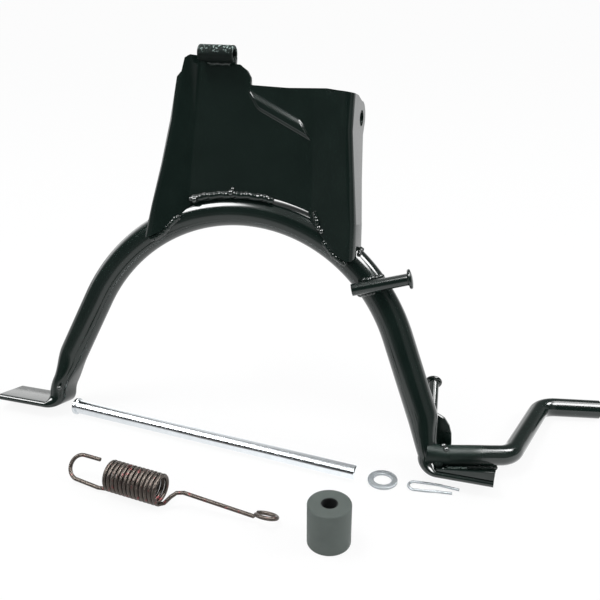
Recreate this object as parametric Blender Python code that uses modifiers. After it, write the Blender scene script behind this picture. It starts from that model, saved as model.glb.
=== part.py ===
"""Centre stand of a scooter, with the fittings that come with it.

A bent tube with flattened feet carries a folded sheet bracket that pivots under the engine.
The stand rests on the rear edges of its soles and on the tip of its kick lever, leaning back.
The pivot pin, washer, split pin, return spring and stop rubber lie in front of it on the floor.
Stand pieces are modelled upright (X across, Y to the rear, Z up along the stand) under an empty
that leans them back. Lengths are in metres.
"""
from math import acos, atan2, cos, pi, radians, sin, sqrt, tan

import bmesh
import bpy
from mathutils import Matrix, Vector

# Gap kept between pieces that are welded or laid together
CLEAR = 0.0003

# Main tube: half circle arch, splayed legs, ends pressed flat and bent out as feet
TUBE_DIAMETER = 0.025
ARCH_RADIUS = 0.1478
ARCH_CENTRE_HEIGHT = 0.0465
LEG_SPLAY = radians(23.2)
LEAN_BACK = radians(16.0)
FOOT_LENGTH = 0.0515
FOOT_THICKNESS = 0.0055
FOOT_DEPTH = 0.0385
HEEL_DEPTH = 0.0390
STRIP_INSET = 0.0060
HEEL_RADIUS = 0.0048
PRESS_START = 0.0420
PRESS_END = 0.0150
STATION_GAP = 0.0020
TUBE_SIDES = 24

# Bracket: one folded sheet, web between two slanted bands, a flange behind each band
SHEET = 0.0030
WEB_SETBACK = -0.0090
CORNER_SETBACK = -0.0200
FLANGE_BACK = 0.0280
FOLD_RADIUS = 0.0040
WEB_FOOT_GAP = 0.0018
WEB_RISE = 0.1018
EAR_RISE = 0.1232
PIVOT_RISE = 0.0827
PIVOT_SETBACK = 0.0130
PIVOT_HOLE = 0.0130
PIVOT_EAR_RADIUS = 0.0135
EAR_RIGHT = -0.0160
EAR_STEP = -0.0016

# Bracket rows: height over the arch crest, then left corner, left fold, right fold, right corner
BRACKET_ROWS = (
    (-0.0430, -0.0865, -0.0500, 0.0620, 0.0972),
    (-0.0020, -0.0800, -0.0500, 0.0585, 0.0950),
    (0.0330, -0.0734, -0.0500, 0.0560, 0.0903),
    (0.0700, -0.0679, -0.0490, 0.0530, 0.0853),
    (0.1330, -0.0618, -0.0480, 0.0490, 0.0845),
)

# Lower edges of the two bands: width, distance outside the arch's centre line
LIP_LEFT = (
    (-0.1065, 0.0022), (-0.0870, -0.0003), (-0.0850, -0.0020), (-0.0825, -0.0032), (-0.0790, -0.0041),
    (-0.0720, -0.0044), (-0.0675, -0.0023), (-0.0625, 0.0012), (-0.0560, 0.0034), (-0.0505, 0.0051),
)
LIP_RIGHT = (
    (0.0620, 0.0049), (0.0655, 0.0043), (0.0700, 0.0019), (0.0756, -0.0005), (0.0800, -0.0016),
    (0.0860, -0.0014), (0.0920, 0.0004), (0.0960, 0.0034), (0.0985, 0.0077), (0.1180, 0.0122),
)

# Rear edge of the flanges below the pivot ear: setback, height over the arch crest
FLANGE_TAIL = ((0.0185, 0.0550), (0.0120, 0.0330), (0.0055, 0.0000), (0.0060, -0.0160), (0.0100, -0.0530))

# Pressed rib across the web
RIB_LEFT = (-0.0060, 0.0930)
RIB_RIGHT = (0.0535, 0.0662)
RIB_WIDTH = 0.0105
RIB_HEIGHT = 0.0028
RIB_SINK = 0.0007

# Stop tube on the bracket's ear
STOP_TUBE_DIAMETER = 0.0138
STOP_TUBE_BORE = 0.0080
STOP_TUBE_LEFT = -0.0446
STOP_TUBE_RIGHT = -0.0148
STOP_TUBE_OVER = 0.0011
STOP_TUBE_EDGE = 0.0006

# Spring peg across the right shoulder
SPRING_PEG_DIAMETER = 0.0096
SPRING_PEG_BEARING = radians(43.8)
SPRING_PEG_INSET = 0.0112
SPRING_PEG_STANDOFF = 0.0066
SPRING_PEG_RUN = (0.0430, 0.0060, 0.0129)
SPRING_PEG_HEAD_DIAMETER = 0.0160
SPRING_PEG_HEAD_THICKNESS = 0.0034

# Kick lever: round bar with two bends, its tip on the floor behind the right foot.
# It stands off the foot by its lift, on the toe plate and its weld.
# Start and first bend are over the foot, second bend and tip over the floor, all measured from the heel
LEVER_DIAMETER = 0.0165
LEVER_LIFT = 0.0020
LEVER_START = (0.0110, -0.0070)
LEVER_FIRST_BEND = (0.0612, 0.0207)
LEVER_SECOND_BEND = (0.0826, 0.1195, 0.0093)
LEVER_TIP = (0.1335, 0.1316)
LEVER_BEND_RADIUS = 0.0205
TOE_PLATE_THICKNESS = 0.0032
TOE_PLATE_INNER = 0.0067
TOE_PLATE_INSET = 0.0004
TOE_PLATE_LOW = 0.0016
TOE_PLATE_HIGH = 0.0066

# Bumper bracket and bumper peg behind the right leg
BUMPER_PLATE = 0.0040
BUMPER_PLATE_INSET = 0.0073
BUMPER_PLATE_HEIGHT = 0.0450
BUMPER_PLATE_EDGE = ((0.0140, 0.0000), (0.0138, 0.0220), (0.0130, 0.0290), (0.0106, 0.0355), (0.0060, 0.0412),
                     (-0.0010, 0.0445))
BUMPER_PEG_DIAMETER = 0.0090
BUMPER_PEG_ROOT = (-0.0042, 0.0060, 0.0460)
BUMPER_PEG_TIP = (-0.0080, 0.0310, 0.0638)
BUMPER_PEG_HEAD_DIAMETER = 0.0144
BUMPER_PEG_HEAD_THICKNESS = 0.0040

# Weld beads
WEB_BEAD_RADIUS = 0.0036
WEB_BEAD_OVER = 0.0012
LIP_BEAD_RADIUS = 0.0029
LIP_BEAD_DROP = 0.0016
SEAM_BEAD_RADIUS = 0.0022
BEAD_STEP = 0.0045
WEB_BEAD_ENDS = (-0.0480, 0.0250)
FLANGE_BEAD_PLACES = (-0.0857, 0.0993)
FOLD_BEAD = ((0.0600, -0.0114, 0.0052), (0.0625, -0.0120, 0.0002), (0.0645, -0.0132, -0.0058))
TOE_BEAD_ENDS = (0.0100, 0.0172)
GUSSET_BEAD = ((0.0180, 0.0080), (0.0320, 0.0098))

# Loose fittings on the floor: centres are places on the floor
PIN_DIAMETER = 0.0120
PIN_HEAD_DIAMETER = 0.0150
PIN_HEAD_THICKNESS = 0.0030
PIN_LENGTH = 0.2705
PIN_LEFT_END = (-0.1526, -0.0027)
PIN_TURN = radians(-4.63)
PIN_CROSS_HOLE = 0.0034
PIN_CROSS_HOLE_INSET = 0.0060
WASHER_DIAMETER = 0.0240
WASHER_HOLE = 0.0132
WASHER_THICKNESS = 0.0025
WASHER_OFFSET = (0.0212, 0.0037)
COTTER_WIRE = 0.0022
COTTER_OFFSET = (0.0264, 0.0001)
COTTER_EYE = 0.0054
COTTER_LONG_LEG = ((0.0343, 0.0048), (0.0185, 0.0063), (0.0094, 0.0060))
COTTER_SHORT_LEG = ((0.0090, -0.0044), (0.0173, -0.0026), (0.0295, -0.0014))
SPRING_WIRE = 0.0032
SPRING_DIAMETER = 0.0252
SPRING_TURNS = 13
SPRING_COIL_GAP = 0.00055
SPRING_LEFT = (-0.0665, -0.0940)
SPRING_TURN = radians(-6.5)
SPRING_HOOK_PLACE = (-0.0213, 0.0013, 0.0006)
SPRING_HOOK_RADIUS = 0.0125
SPRING_HOOK_TILT = radians(38.0)
SPRING_ARM_START = (0.0656, 0.0040)
SPRING_ARM_END = (0.1230, 0.0087)
SPRING_EYE_PLACE = (0.1314, 0.0130)
SPRING_EYE_RADIUS = 0.0082
SPRING_EYE_TILT = radians(28.0)
COIL_POINTS = 14
RUBBER_DIAMETER = 0.0322
RUBBER_HEIGHT = 0.0342
RUBBER_BORE = 0.0112
RUBBER_EDGE = 0.0012
RUBBER_PLACE = (0.1160, -0.1034)

ROUND_STEPS = 28
SMOOTH_ANGLE = radians(35.0)

TUBE_RADIUS = TUBE_DIAMETER / 2
CREST = ARCH_CENTRE_HEIGHT + ARCH_RADIUS
SOLE_EDGE = FOOT_THICKNESS / 2
SOLE_LIFT = (HEEL_DEPTH / 2 - SOLE_EDGE) * sin(LEAN_BACK) + SOLE_EDGE * (1 - cos(LEAN_BACK))
ARCH_CENTRE = Vector((0, ARCH_CENTRE_HEIGHT))
LEVER_RADIUS = LEVER_DIAMETER / 2
LEVER_HEIGHT = FOOT_THICKNESS + LEVER_LIFT + CLEAR + LEVER_RADIUS
WEB_FRONT = WEB_SETBACK - SHEET / 2
LEG_TOP = (ARCH_RADIUS * cos(LEG_SPLAY), ARCH_CENTRE_HEIGHT + ARCH_RADIUS * sin(LEG_SPLAY))
HEEL = LEG_TOP[0] + (LEG_TOP[1] - FOOT_THICKNESS / 2) * tan(LEG_SPLAY) - STRIP_INSET / cos(LEG_SPLAY)
FOOT_END = HEEL + FOOT_LENGTH
BUMPER_PLATE_BACK = HEEL_DEPTH / 2 - BUMPER_PLATE_INSET
PIN_END = (PIN_LEFT_END[0] + PIN_LENGTH * cos(PIN_TURN), PIN_LEFT_END[1] + PIN_LENGTH * sin(PIN_TURN))
WASHER_PLACE = (PIN_END[0] + WASHER_OFFSET[0], PIN_END[1] + WASHER_OFFSET[1])
COTTER_PLACE = (WASHER_PLACE[0] + COTTER_OFFSET[0], WASHER_PLACE[1] + COTTER_OFFSET[1])


def clear_scene():
    for old in list(bpy.data.objects):
        bpy.data.objects.remove(old)


def material(name, colour, metallic, roughness):
    made = bpy.data.materials.new(name)
    made.use_nodes = True
    shader = made.node_tree.nodes["Principled BSDF"]
    shader.inputs["Base Color"].default_value = (*colour, 1.0)
    shader.inputs["Metallic"].default_value = metallic
    shader.inputs["Roughness"].default_value = roughness
    return made


def link(obj, group, finish=None, parent=None):
    group.objects.link(obj)
    if finish:
        obj.data.materials.append(finish)
    if parent:
        obj.parent = parent
    return obj


def as_cutter(obj):
    obj.hide_render = True
    obj.display_type = "WIRE"
    return obj


def mesh_object(name, bm, group, finish=None, parent=None):
    """Makes the bmesh an object with its faces pointing out and its round sides smooth."""
    bmesh.ops.recalc_face_normals(bm, faces=bm.faces)
    mesh = bpy.data.meshes.new(name)
    bm.to_mesh(mesh)
    bm.free()
    mesh.shade_smooth()
    mesh.set_sharp_from_angle(angle=SMOOTH_ANGLE)
    return link(bpy.data.objects.new(name, mesh), group, finish, parent)


def curve_object(name, points, radius, group, finish=None, parent=None, swell=None):
    """A round wire along the points; swell gives each point its share of the radius."""
    curve = bpy.data.curves.new(name, "CURVE")
    curve.dimensions = "3D"
    curve.bevel_depth = radius
    curve.bevel_resolution = 2
    curve.use_fill_caps = True
    spline = curve.splines.new("POLY")
    spline.points.add(len(points) - 1)
    for index, place in enumerate(points):
        spline.points[index].co = (*place, 1.0)
        spline.points[index].radius = swell[index] if swell else 1.0
    return link(bpy.data.objects.new(name, curve), group, finish, parent)


def to_mesh(obj, weld=0.00001):
    """Replaces a curve object by the closed mesh that it shows."""
    bpy.context.view_layer.update()
    name = obj.name
    graph = bpy.context.evaluated_depsgraph_get()
    mesh = bpy.data.meshes.new_from_object(obj.evaluated_get(graph))
    bm = bmesh.new()
    bm.from_mesh(mesh)
    bmesh.ops.remove_doubles(bm, verts=bm.verts, dist=weld)
    bmesh.ops.recalc_face_normals(bm, faces=bm.faces)
    bm.to_mesh(mesh)
    bm.free()
    made = bpy.data.objects.new(name, mesh)
    for holder in obj.users_collection:
        holder.objects.link(made)
    made.parent = obj.parent
    made.matrix_basis = obj.matrix_basis
    bpy.data.objects.remove(obj)
    made.name = name
    made.data.shade_smooth()
    made.data.set_sharp_from_angle(angle=SMOOTH_ANGLE)
    return made


def plate(name, outline, thickness, group, finish=None, parent=None):
    """A flat outline of (x, z) points, thickened evenly to the front and the rear of Y = 0."""
    curve = bpy.data.curves.new(name, "CURVE")
    curve.dimensions = "2D"
    curve.fill_mode = "BOTH"
    curve.extrude = thickness / 2
    spline = curve.splines.new("POLY")
    spline.points.add(len(outline) - 1)
    spline.use_cyclic_u = True
    for index, place in enumerate(outline):
        spline.points[index].co = (place[0], place[1], 0.0, 1.0)
    obj = link(bpy.data.objects.new(name, curve), group, finish, parent)
    obj.rotation_euler = (pi / 2, 0, 0)
    return to_mesh(obj)


def turned(name, profile, group, finish=None, parent=None, steps=ROUND_STEPS):
    """Spins a closed (radius, height) profile about Z, top to bottom along its outer side."""
    bm = bmesh.new()
    verts = [bm.verts.new((radius, 0, height)) for radius, height in profile]
    for index in range(len(verts)):
        bm.edges.new((verts[index - 1], verts[index]))
    mesh = bpy.data.meshes.new(name)
    bm.to_mesh(mesh)
    bm.free()
    obj = link(bpy.data.objects.new(name, mesh), group, finish, parent)
    spin = obj.modifiers.new("spin", "SCREW")
    spin.axis = "Z"
    spin.steps = steps
    spin.render_steps = steps
    spin.use_merge_vertices = True
    spin.merge_threshold = 0.00001
    return obj


def aim(obj, root, tip):
    """Places an object made along +Z so that it runs from root toward tip."""
    direction = Vector(tip) - Vector(root)
    obj.location = root
    obj.rotation_euler = direction.to_track_quat("Z", "Y").to_euler()
    return obj


def boolean(obj, cutter, operation):
    step = obj.modifiers.new(cutter.name, "BOOLEAN")
    step.operation = operation
    step.object = cutter
    step.solver = "EXACT"
    return obj


def arc(centre, radius, start, end, count):
    """Points on an arc in a plane, angles from the first axis."""
    angles = [start + (end - start) * index / count for index in range(count + 1)]
    return [(centre[0] + radius * cos(a), centre[1] + radius * sin(a)) for a in angles]


def filleted(corners, radius, count=6):
    """A path through the corners, each inner corner rounded with the radius."""
    points = [Vector(corners[0])]
    for before, corner, after in zip(corners, corners[1:], corners[2:]):
        corner = Vector(corner)
        back = (Vector(before) - corner).normalized()
        ahead = (Vector(after) - corner).normalized()
        half = acos(max(-1.0, min(1.0, back.dot(ahead)))) / 2
        centre = corner + (back + ahead).normalized() * (radius / sin(half))
        first = corner + back * (radius / tan(half)) - centre
        last = corner + ahead * (radius / tan(half)) - centre
        sweep = first.angle(last)
        for index in range(count + 1):
            share = index / count
            ahead_part = sin(sweep * share) / sin(sweep)
            back_part = sin(sweep * (1 - share)) / sin(sweep)
            points.append(centre + first * back_part + last * ahead_part)
    points.append(Vector(corners[-1]))
    return points


def from_floor(x, y, z):
    """Turns a place over the floor into the leaning stand's own directions."""
    rise = z - SOLE_LIFT
    return Vector((x, y * cos(LEAN_BACK) - rise * sin(LEAN_BACK), y * sin(LEAN_BACK) + rise * cos(LEAN_BACK)))


def arch_height(x, radius):
    """Height of the circle about the arch centre at a width."""
    return ARCH_CENTRE_HEIGHT + sqrt(radius ** 2 - x ** 2)


def leg_point(height):
    """Centre of the right leg at a height over the sole."""
    return Vector((LEG_TOP[0] + (LEG_TOP[1] - height) * tan(LEG_SPLAY), height))


def bow_half():
    """Stations of the right half, foot end to arch top: centre, direction angle, flatness, depth."""
    level = FOOT_THICKNESS / 2
    inset = Vector((-cos(LEG_SPLAY), -sin(LEG_SPLAY))) * STRIP_INSET
    turn = pi / 2 - LEG_SPLAY
    reach = HEEL_RADIUS * tan(turn / 2)
    stations = [(Vector((FOOT_END, level)), pi, 1.0, FOOT_DEPTH)]
    stations.append((Vector((HEEL + reach + STATION_GAP, level)), pi, 1.0, HEEL_DEPTH))
    bend_centre = Vector((HEEL + reach, level + HEEL_RADIUS))
    for index in range(7):
        swing = turn * index / 6
        place = bend_centre - HEEL_RADIUS * Vector((sin(swing), cos(swing)))
        stations.append((place, pi - swing, 1.0, HEEL_DEPTH))
    for index in range(9):
        share = index / 8
        height = PRESS_END + (PRESS_START - PRESS_END) * share
        flat = 1 - share * share * (3 - 2 * share)
        stations.append((leg_point(height) + inset * flat, pi / 2 + LEG_SPLAY, flat, HEEL_DEPTH))
    arch_steps = 20
    for index in range(arch_steps + 1):
        angle = LEG_SPLAY + (pi / 2 - LEG_SPLAY) * index / arch_steps
        place = ARCH_CENTRE + ARCH_RADIUS * Vector((cos(angle), sin(angle)))
        stations.append((place, angle + pi / 2, 0.0, HEEL_DEPTH))
    return stations


def main_tube(name, grow, group, finish=None, parent=None):
    """Loft along the bow, from round tube to pressed foot; grow makes it a clearance cutter."""
    half = bow_half()
    rings = []
    for side in (1, -1):
        for place, angle, flat, depth in (half if side == 1 else reversed(half[:-1])):
            thick = TUBE_RADIUS + (FOOT_THICKNESS / 2 - TUBE_RADIUS) * flat + grow
            wide = TUBE_RADIUS + (depth / 2 - TUBE_RADIUS) * flat + grow
            end_reach = grow if place.x == FOOT_END else 0.0
            rings.append((side * (place.x + end_reach), place.y, -side * sin(angle), cos(angle), thick, wide))
    bm = bmesh.new()
    loops = []
    for x, z, normal_x, normal_z, thick, wide in rings:
        loop = []
        for index in range(TUBE_SIDES):
            turn = 2 * pi * (index + 0.5) / TUBE_SIDES
            off = thick * cos(turn)
            rear = thick * sin(turn) + (wide - thick) * (1 if sin(turn) > 0 else -1)
            loop.append(bm.verts.new((x + normal_x * off, rear, z + normal_z * off)))
        loops.append(loop)
    for near, far in zip(loops, loops[1:]):
        for index in range(TUBE_SIDES):
            bm.faces.new((near[index - 1], near[index], far[index], far[index - 1]))
    bm.faces.new(loops[0])
    bm.faces.new(reversed(loops[-1]))
    return mesh_object(name, bm, group, finish, parent)


def folded_sheet(name, thickness, group, finish=None, parent=None):
    """The bracket before it is cut out: flange, band, web, band, flange, row by row."""
    bm = bmesh.new()
    rows = []
    for rise, left, left_fold, right_fold, right in BRACKET_ROWS:
        line = ((left, FLANGE_BACK), (left, CORNER_SETBACK), (left_fold, WEB_SETBACK),
                (right_fold, WEB_SETBACK), (right, CORNER_SETBACK), (right, FLANGE_BACK))
        bent = filleted([Vector((x, y, CREST + rise)) for x, y in line], FOLD_RADIUS, 3)
        rows.append([bm.verts.new(place) for place in bent])
    for low, high in zip(rows, rows[1:]):
        for index in range(len(low) - 1):
            bm.faces.new((low[index], low[index + 1], high[index + 1], high[index]))
    obj = mesh_object(name, bm, group, finish, parent)
    wall = obj.modifiers.new("wall", "SOLIDIFY")
    wall.thickness = thickness
    wall.offset = 0.0
    wall.use_even_offset = True
    return obj


def front_outline():
    """The bracket seen from the front: lips over the tube, web top, ear."""
    first, last = BRACKET_ROWS[0], BRACKET_ROWS[-1]
    left_fold, right_fold = first[2], first[3]
    wide = 0.02
    web = ARCH_RADIUS + TUBE_RADIUS + WEB_FOOT_GAP
    left_lip = [(x, arch_height(x, ARCH_RADIUS + outside)) for x, outside in LIP_LEFT]
    web_foot = arc(ARCH_CENTRE, web, acos((left_fold + 0.003) / web), acos((right_fold - 0.007) / web), 20)
    right_lip = [(x, arch_height(x, ARCH_RADIUS + outside)) for x, outside in LIP_RIGHT]
    web_top = CREST + WEB_RISE
    ear_top = CREST + EAR_RISE
    right_corner = last[4] + 0.0015
    ear_left = last[1] + 0.0035
    top = [
        (first[4] + wide, web_top - 0.0034),
        (right_corner, web_top - 0.0028),
        (right_corner - 0.0055, web_top - 0.0022),
        (right_corner - 0.024, web_top + 0.0004),
        (0.0300, web_top - 0.0008),
        (EAR_STEP, web_top),
        (EAR_STEP - 0.0008, web_top + 0.0060),
        (EAR_STEP - 0.0042, web_top + 0.0112),
        (EAR_STEP - 0.0105, web_top + 0.0156),
        (EAR_RIGHT, web_top + 0.0158),
        (EAR_RIGHT, ear_top),
        (ear_left + 0.004, ear_top),
        (ear_left, ear_top - 0.003),
        (ear_left - 0.0020, web_top + 0.0072),
        (ear_left - 0.0080, web_top + 0.0018),
        (first[1] - wide, web_top + 0.0018),
    ]
    return left_lip + web_foot + right_lip + top


def side_outline():
    """The bracket seen from the side as (rear, height): tall in front, a round ear at the pivot."""
    pivot = (PIVOT_SETBACK, CREST + PIVOT_RISE)
    round_ear = arc(pivot, PIVOT_EAR_RADIUS, radians(100), radians(-25), 12)
    front = CORNER_SETBACK - 0.010
    shelf = (WEB_SETBACK + 0.006, CREST + WEB_RISE - 0.003)
    tail = [(setback, CREST + rise) for setback, rise in FLANGE_TAIL]
    high = CREST + EAR_RISE + 0.050
    return [(front, tail[-1][1]), (front, high), (shelf[0], high), shelf] + round_ear + tail


def bracket(name, thickness, group, cutters, finish, parent):
    """The folded sheet, cut to its outlines and fitted over the tube."""
    obj = folded_sheet(name, thickness, group, finish, parent)
    bm = bmesh.new()
    bmesh.ops.create_uvsphere(bm, u_segments=20, v_segments=12, radius=1.0)
    start = Vector((RIB_LEFT[0], 0, CREST + RIB_LEFT[1]))
    end = Vector((RIB_RIGHT[0], 0, CREST + RIB_RIGHT[1]))
    length = (end - start).length
    slope = atan2(start.z - end.z, end.x - start.x)
    rib = as_cutter(mesh_object(name + "_rib", bm, cutters, None, parent))
    size = Matrix.Diagonal((length / 2, RIB_HEIGHT, RIB_WIDTH / 2, 1.0))
    rib.data.transform(Matrix.Rotation(slope, 4, "Y") @ size)
    rib.location = (start + end) / 2 + Vector((0, WEB_SETBACK - thickness / 2 + RIB_SINK, 0))
    boolean(obj, rib, "UNION")
    groove = as_cutter(rib.copy())
    groove.name = name + "_groove"
    cutters.objects.link(groove)
    groove.location = (start + end) / 2 + Vector((0, WEB_SETBACK + thickness / 2 + RIB_SINK, 0))
    boolean(obj, groove, "DIFFERENCE")
    return obj


def cut_bracket(obj, cutters, parent):
    depth = 0.2
    front = as_cutter(plate("front_outline", front_outline(), depth, cutters, None, parent))
    boolean(obj, front, "INTERSECT")
    side = as_cutter(plate("side_outline", side_outline(), 2 * depth, cutters, None, parent))
    side.rotation_euler = (pi / 2, 0, pi / 2)
    boolean(obj, side, "INTERSECT")
    bm = bmesh.new()
    bmesh.ops.create_cone(bm, cap_ends=True, segments=24, radius1=PIVOT_HOLE / 2, radius2=PIVOT_HOLE / 2,
                          depth=2 * depth)
    hole = as_cutter(mesh_object("pivot_hole", bm, cutters, None, parent))
    hole.rotation_euler = (0, pi / 2, 0)
    hole.location = (0, PIVOT_SETBACK, CREST + PIVOT_RISE)
    boolean(obj, hole, "DIFFERENCE")


def headed_peg(name, root, tip, diameter, head_diameter, head, group, finish, parent):
    """A round peg with a domed head at its tip."""
    length = (Vector(tip) - Vector(root)).length
    radius = diameter / 2
    wide = head_diameter / 2
    dome = [(0.0, length + head), (wide * 0.55, length + head * 0.88), (wide * 0.85, length + head * 0.55),
            (wide, length + head * 0.15), (wide, length), (radius, length - (wide - radius) * 0.25)]
    profile = dome + [(radius, 0.0), (0.0, 0.0)]
    return aim(turned(name, profile, group, finish, parent, steps=20), root, tip)


def bead(name, path, radius, group, finish, parent, cuts):
    """A weld bead along the path, cut back to what it joins."""
    points = [Vector(path[0])]
    for near, far in zip(path, path[1:]):
        near, far = Vector(near), Vector(far)
        count = max(1, round((far - near).length / BEAD_STEP))
        points += [near.lerp(far, (index + 1) / count) for index in range(count)]
    swell = [1.0 + 0.07 * sin(2.3 * index) for index in range(len(points))]
    swell[0] = swell[-1] = 0.62
    obj = to_mesh(curve_object(name, points, radius, group, finish, parent, swell=swell))
    for cutter in cuts:
        boolean(obj, cutter, "DIFFERENCE")
    return obj


def around_arch(radius, setback, start_x, end_x, count=8):
    """Places on an arc about the arch centre at a setback, between two widths."""
    start = acos(start_x / radius)
    end = acos(end_x / radius)
    return [Vector((x, setback, z)) for x, z in arc(ARCH_CENTRE, radius, start, end, count)]


def lever_path():
    start = Vector((HEEL + LEVER_START[0], LEVER_START[1], LEVER_HEIGHT))
    first = Vector((HEEL + LEVER_FIRST_BEND[0], LEVER_FIRST_BEND[1], LEVER_HEIGHT))
    second = from_floor(HEEL + LEVER_SECOND_BEND[0], LEVER_SECOND_BEND[1], LEVER_SECOND_BEND[2])
    tip = from_floor(HEEL + LEVER_TIP[0], LEVER_TIP[1], LEVER_RADIUS)
    return filleted((start, first, second, tip), LEVER_BEND_RADIUS, 7)


def toe_plate(name, thickness, group, finish, parent):
    """Wedge strip on the front edge of the right foot, filling the corner below the lever."""
    bottom = FOOT_THICKNESS + CLEAR
    inner = HEEL + TOE_PLATE_INNER
    outline = [(inner, bottom), (FOOT_END, bottom), (FOOT_END, bottom + TOE_PLATE_HIGH),
               (inner, bottom + TOE_PLATE_LOW)]
    obj = plate(name, outline, thickness, group, finish, parent)
    obj.location = (0, -FOOT_DEPTH / 2 + TOE_PLATE_THICKNESS / 2 + TOE_PLATE_INSET, 0)
    return obj


def bumper_bracket(name, thickness, group, finish, parent):
    """Curved gusset plate between the right leg and its foot."""
    base = FOOT_THICKNESS + CLEAR
    edge_line = [(HEEL + x, max(z, base)) for x, z in BUMPER_PLATE_EDGE]
    spine = [(place.x, place.y) for place, angle, flat, depth in bow_half()
             if base + 0.001 < place.y < BUMPER_PLATE_HEIGHT - 0.001]
    outline = edge_line + [(leg_point(BUMPER_PLATE_HEIGHT).x, BUMPER_PLATE_HEIGHT)] + spine[::-1]
    outline.append((spine[0][0], base))
    obj = plate(name, outline, thickness, group, finish, parent)
    obj.location = (0, BUMPER_PLATE_BACK, 0)
    edge = obj.modifiers.new("edge", "BEVEL")
    edge.width = 0.0006
    edge.segments = 1
    edge.limit_method = "ANGLE"
    edge.angle_limit = radians(40)
    return obj


def stop_tube(name, grow, group, finish, parent):
    """Short tube across the front of the ear; grow makes it a solid clearance cutter."""
    outer = STOP_TUBE_DIAMETER / 2 + grow
    inner = 0.0 if grow else STOP_TUBE_BORE / 2
    length = STOP_TUBE_RIGHT - STOP_TUBE_LEFT
    profile = [(inner, length), (outer - STOP_TUBE_EDGE, length), (outer, length - STOP_TUBE_EDGE),
               (outer, STOP_TUBE_EDGE), (outer - STOP_TUBE_EDGE, 0.0), (inner, 0.0)]
    setback = WEB_FRONT - CLEAR - STOP_TUBE_DIAMETER / 2
    height = CREST + EAR_RISE + STOP_TUBE_OVER
    obj = turned(name, profile, group, finish, parent, steps=24)
    return aim(obj, (STOP_TUBE_LEFT, setback, height), (STOP_TUBE_RIGHT, setback, height))


def over_tube(x):
    """Places over the crest of the tube at a width, front to rear, just outside its surface."""
    places = []
    for setback in (-0.0095, -0.0055, -0.0010, 0.0035):
        radius = ARCH_RADIUS + sqrt(TUBE_RADIUS ** 2 - setback ** 2) + 0.0004
        places.append(Vector((x, setback, arch_height(x, radius))))
    return places


def under_lip(lip, fold, corner):
    """Places below a band's lower edge, midway between the band and the front of the tube."""
    places = []
    for x, outside in lip:
        share = (x - fold) / (corner - fold)
        band = WEB_SETBACK + (CORNER_SETBACK - WEB_SETBACK) * share
        below = outside - LIP_BEAD_DROP
        front = -sqrt(TUBE_RADIUS ** 2 - below ** 2)
        places.append(Vector((x, (band + front) / 2, arch_height(x, ARCH_RADIUS + below))))
    return places


def spring_peg_ends():
    reach = ARCH_RADIUS - SPRING_PEG_INSET
    root = Vector((reach * cos(SPRING_PEG_BEARING), -TUBE_RADIUS - SPRING_PEG_STANDOFF,
                   ARCH_CENTRE_HEIGHT + reach * sin(SPRING_PEG_BEARING)))
    return root, root + Vector(SPRING_PEG_RUN)


def bumper_peg_ends():
    return [Vector((HEEL + x, y, z)) for x, y, z in (BUMPER_PEG_ROOT, BUMPER_PEG_TIP)]


def beside_peg(side):
    """Places along one side of the spring peg, on the front of the tube."""
    root, tip = spring_peg_ends()
    across = Vector((root.z - tip.z, 0, tip.x - root.x)).normalized()
    places = []
    for share in (0.10, 0.22, 0.34, 0.46):
        place = root.lerp(tip, share + 0.08 * side) + across * side * (SPRING_PEG_DIAMETER / 2 + 0.0006)
        off = (Vector((place.x, place.z)) - ARCH_CENTRE).length - ARCH_RADIUS
        places.append(Vector((place.x, -sqrt(max(TUBE_RADIUS ** 2 - off ** 2, 0.00001)) - 0.0004, place.z)))
    return places


def around_lever():
    """Places beside the lever on the foot: along its rear side, round its end, along its front."""
    start = Vector((HEEL + LEVER_START[0], LEVER_START[1]))
    first = Vector((HEEL + LEVER_FIRST_BEND[0], LEVER_FIRST_BEND[1]))
    along = (first - start).normalized()
    rear = Vector((-along.y, along.x))
    height = FOOT_THICKNESS + 0.0018
    beside = LEVER_RADIUS * 0.86
    flat = [start + along * 0.032 + rear * beside, start + along * 0.002 + rear * beside,
            start - along * 0.0012 + rear * beside * 0.4, start - along * 0.0012 - rear * beside * 0.3]
    return [Vector((place.x, place.y, height)) for place in flat]


def pivot_pin(group, finish, parent):
    """Headed pin lying on its head and its far end, with a cross hole for the split pin."""
    radius = PIN_DIAMETER / 2
    head = PIN_HEAD_DIAMETER / 2
    edge = 0.0008
    profile = [(0.0, PIN_LENGTH), (radius - edge, PIN_LENGTH), (radius, PIN_LENGTH - edge),
               (radius, PIN_HEAD_THICKNESS), (head, PIN_HEAD_THICKNESS), (head, edge), (head - edge, 0.0),
               (0.0, 0.0)]
    obj = turned("pivot_pin", profile, group, finish, parent)
    bm = bmesh.new()
    bmesh.ops.create_cone(bm, cap_ends=True, segments=12, radius1=PIN_CROSS_HOLE / 2,
                          radius2=PIN_CROSS_HOLE / 2, depth=2 * PIN_DIAMETER)
    bmesh.ops.rotate(bm, verts=bm.verts, cent=(0, 0, 0), matrix=Matrix.Rotation(pi / 2, 3, "X"))
    bmesh.ops.translate(bm, verts=bm.verts, vec=(0, 0, PIN_LENGTH - PIN_CROSS_HOLE_INSET))
    hole = as_cutter(mesh_object("cross_hole", bm, bpy.data.collections["cutters"], None, obj))
    boolean(obj, hole, "DIFFERENCE")
    return aim(obj, (*PIN_LEFT_END, head), (*PIN_END, radius))


def pivot_washer(group, finish, parent):
    outer, inner, thick, edge = WASHER_DIAMETER / 2, WASHER_HOLE / 2, WASHER_THICKNESS, 0.0003
    profile = [(inner, thick), (outer - edge, thick), (outer, thick - edge), (outer, edge), (outer - edge, 0.0),
               (inner, 0.0)]
    obj = turned("pivot_washer", profile, group, finish, parent, steps=36)
    obj.location = (*WASHER_PLACE, 0.0)
    return obj


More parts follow.
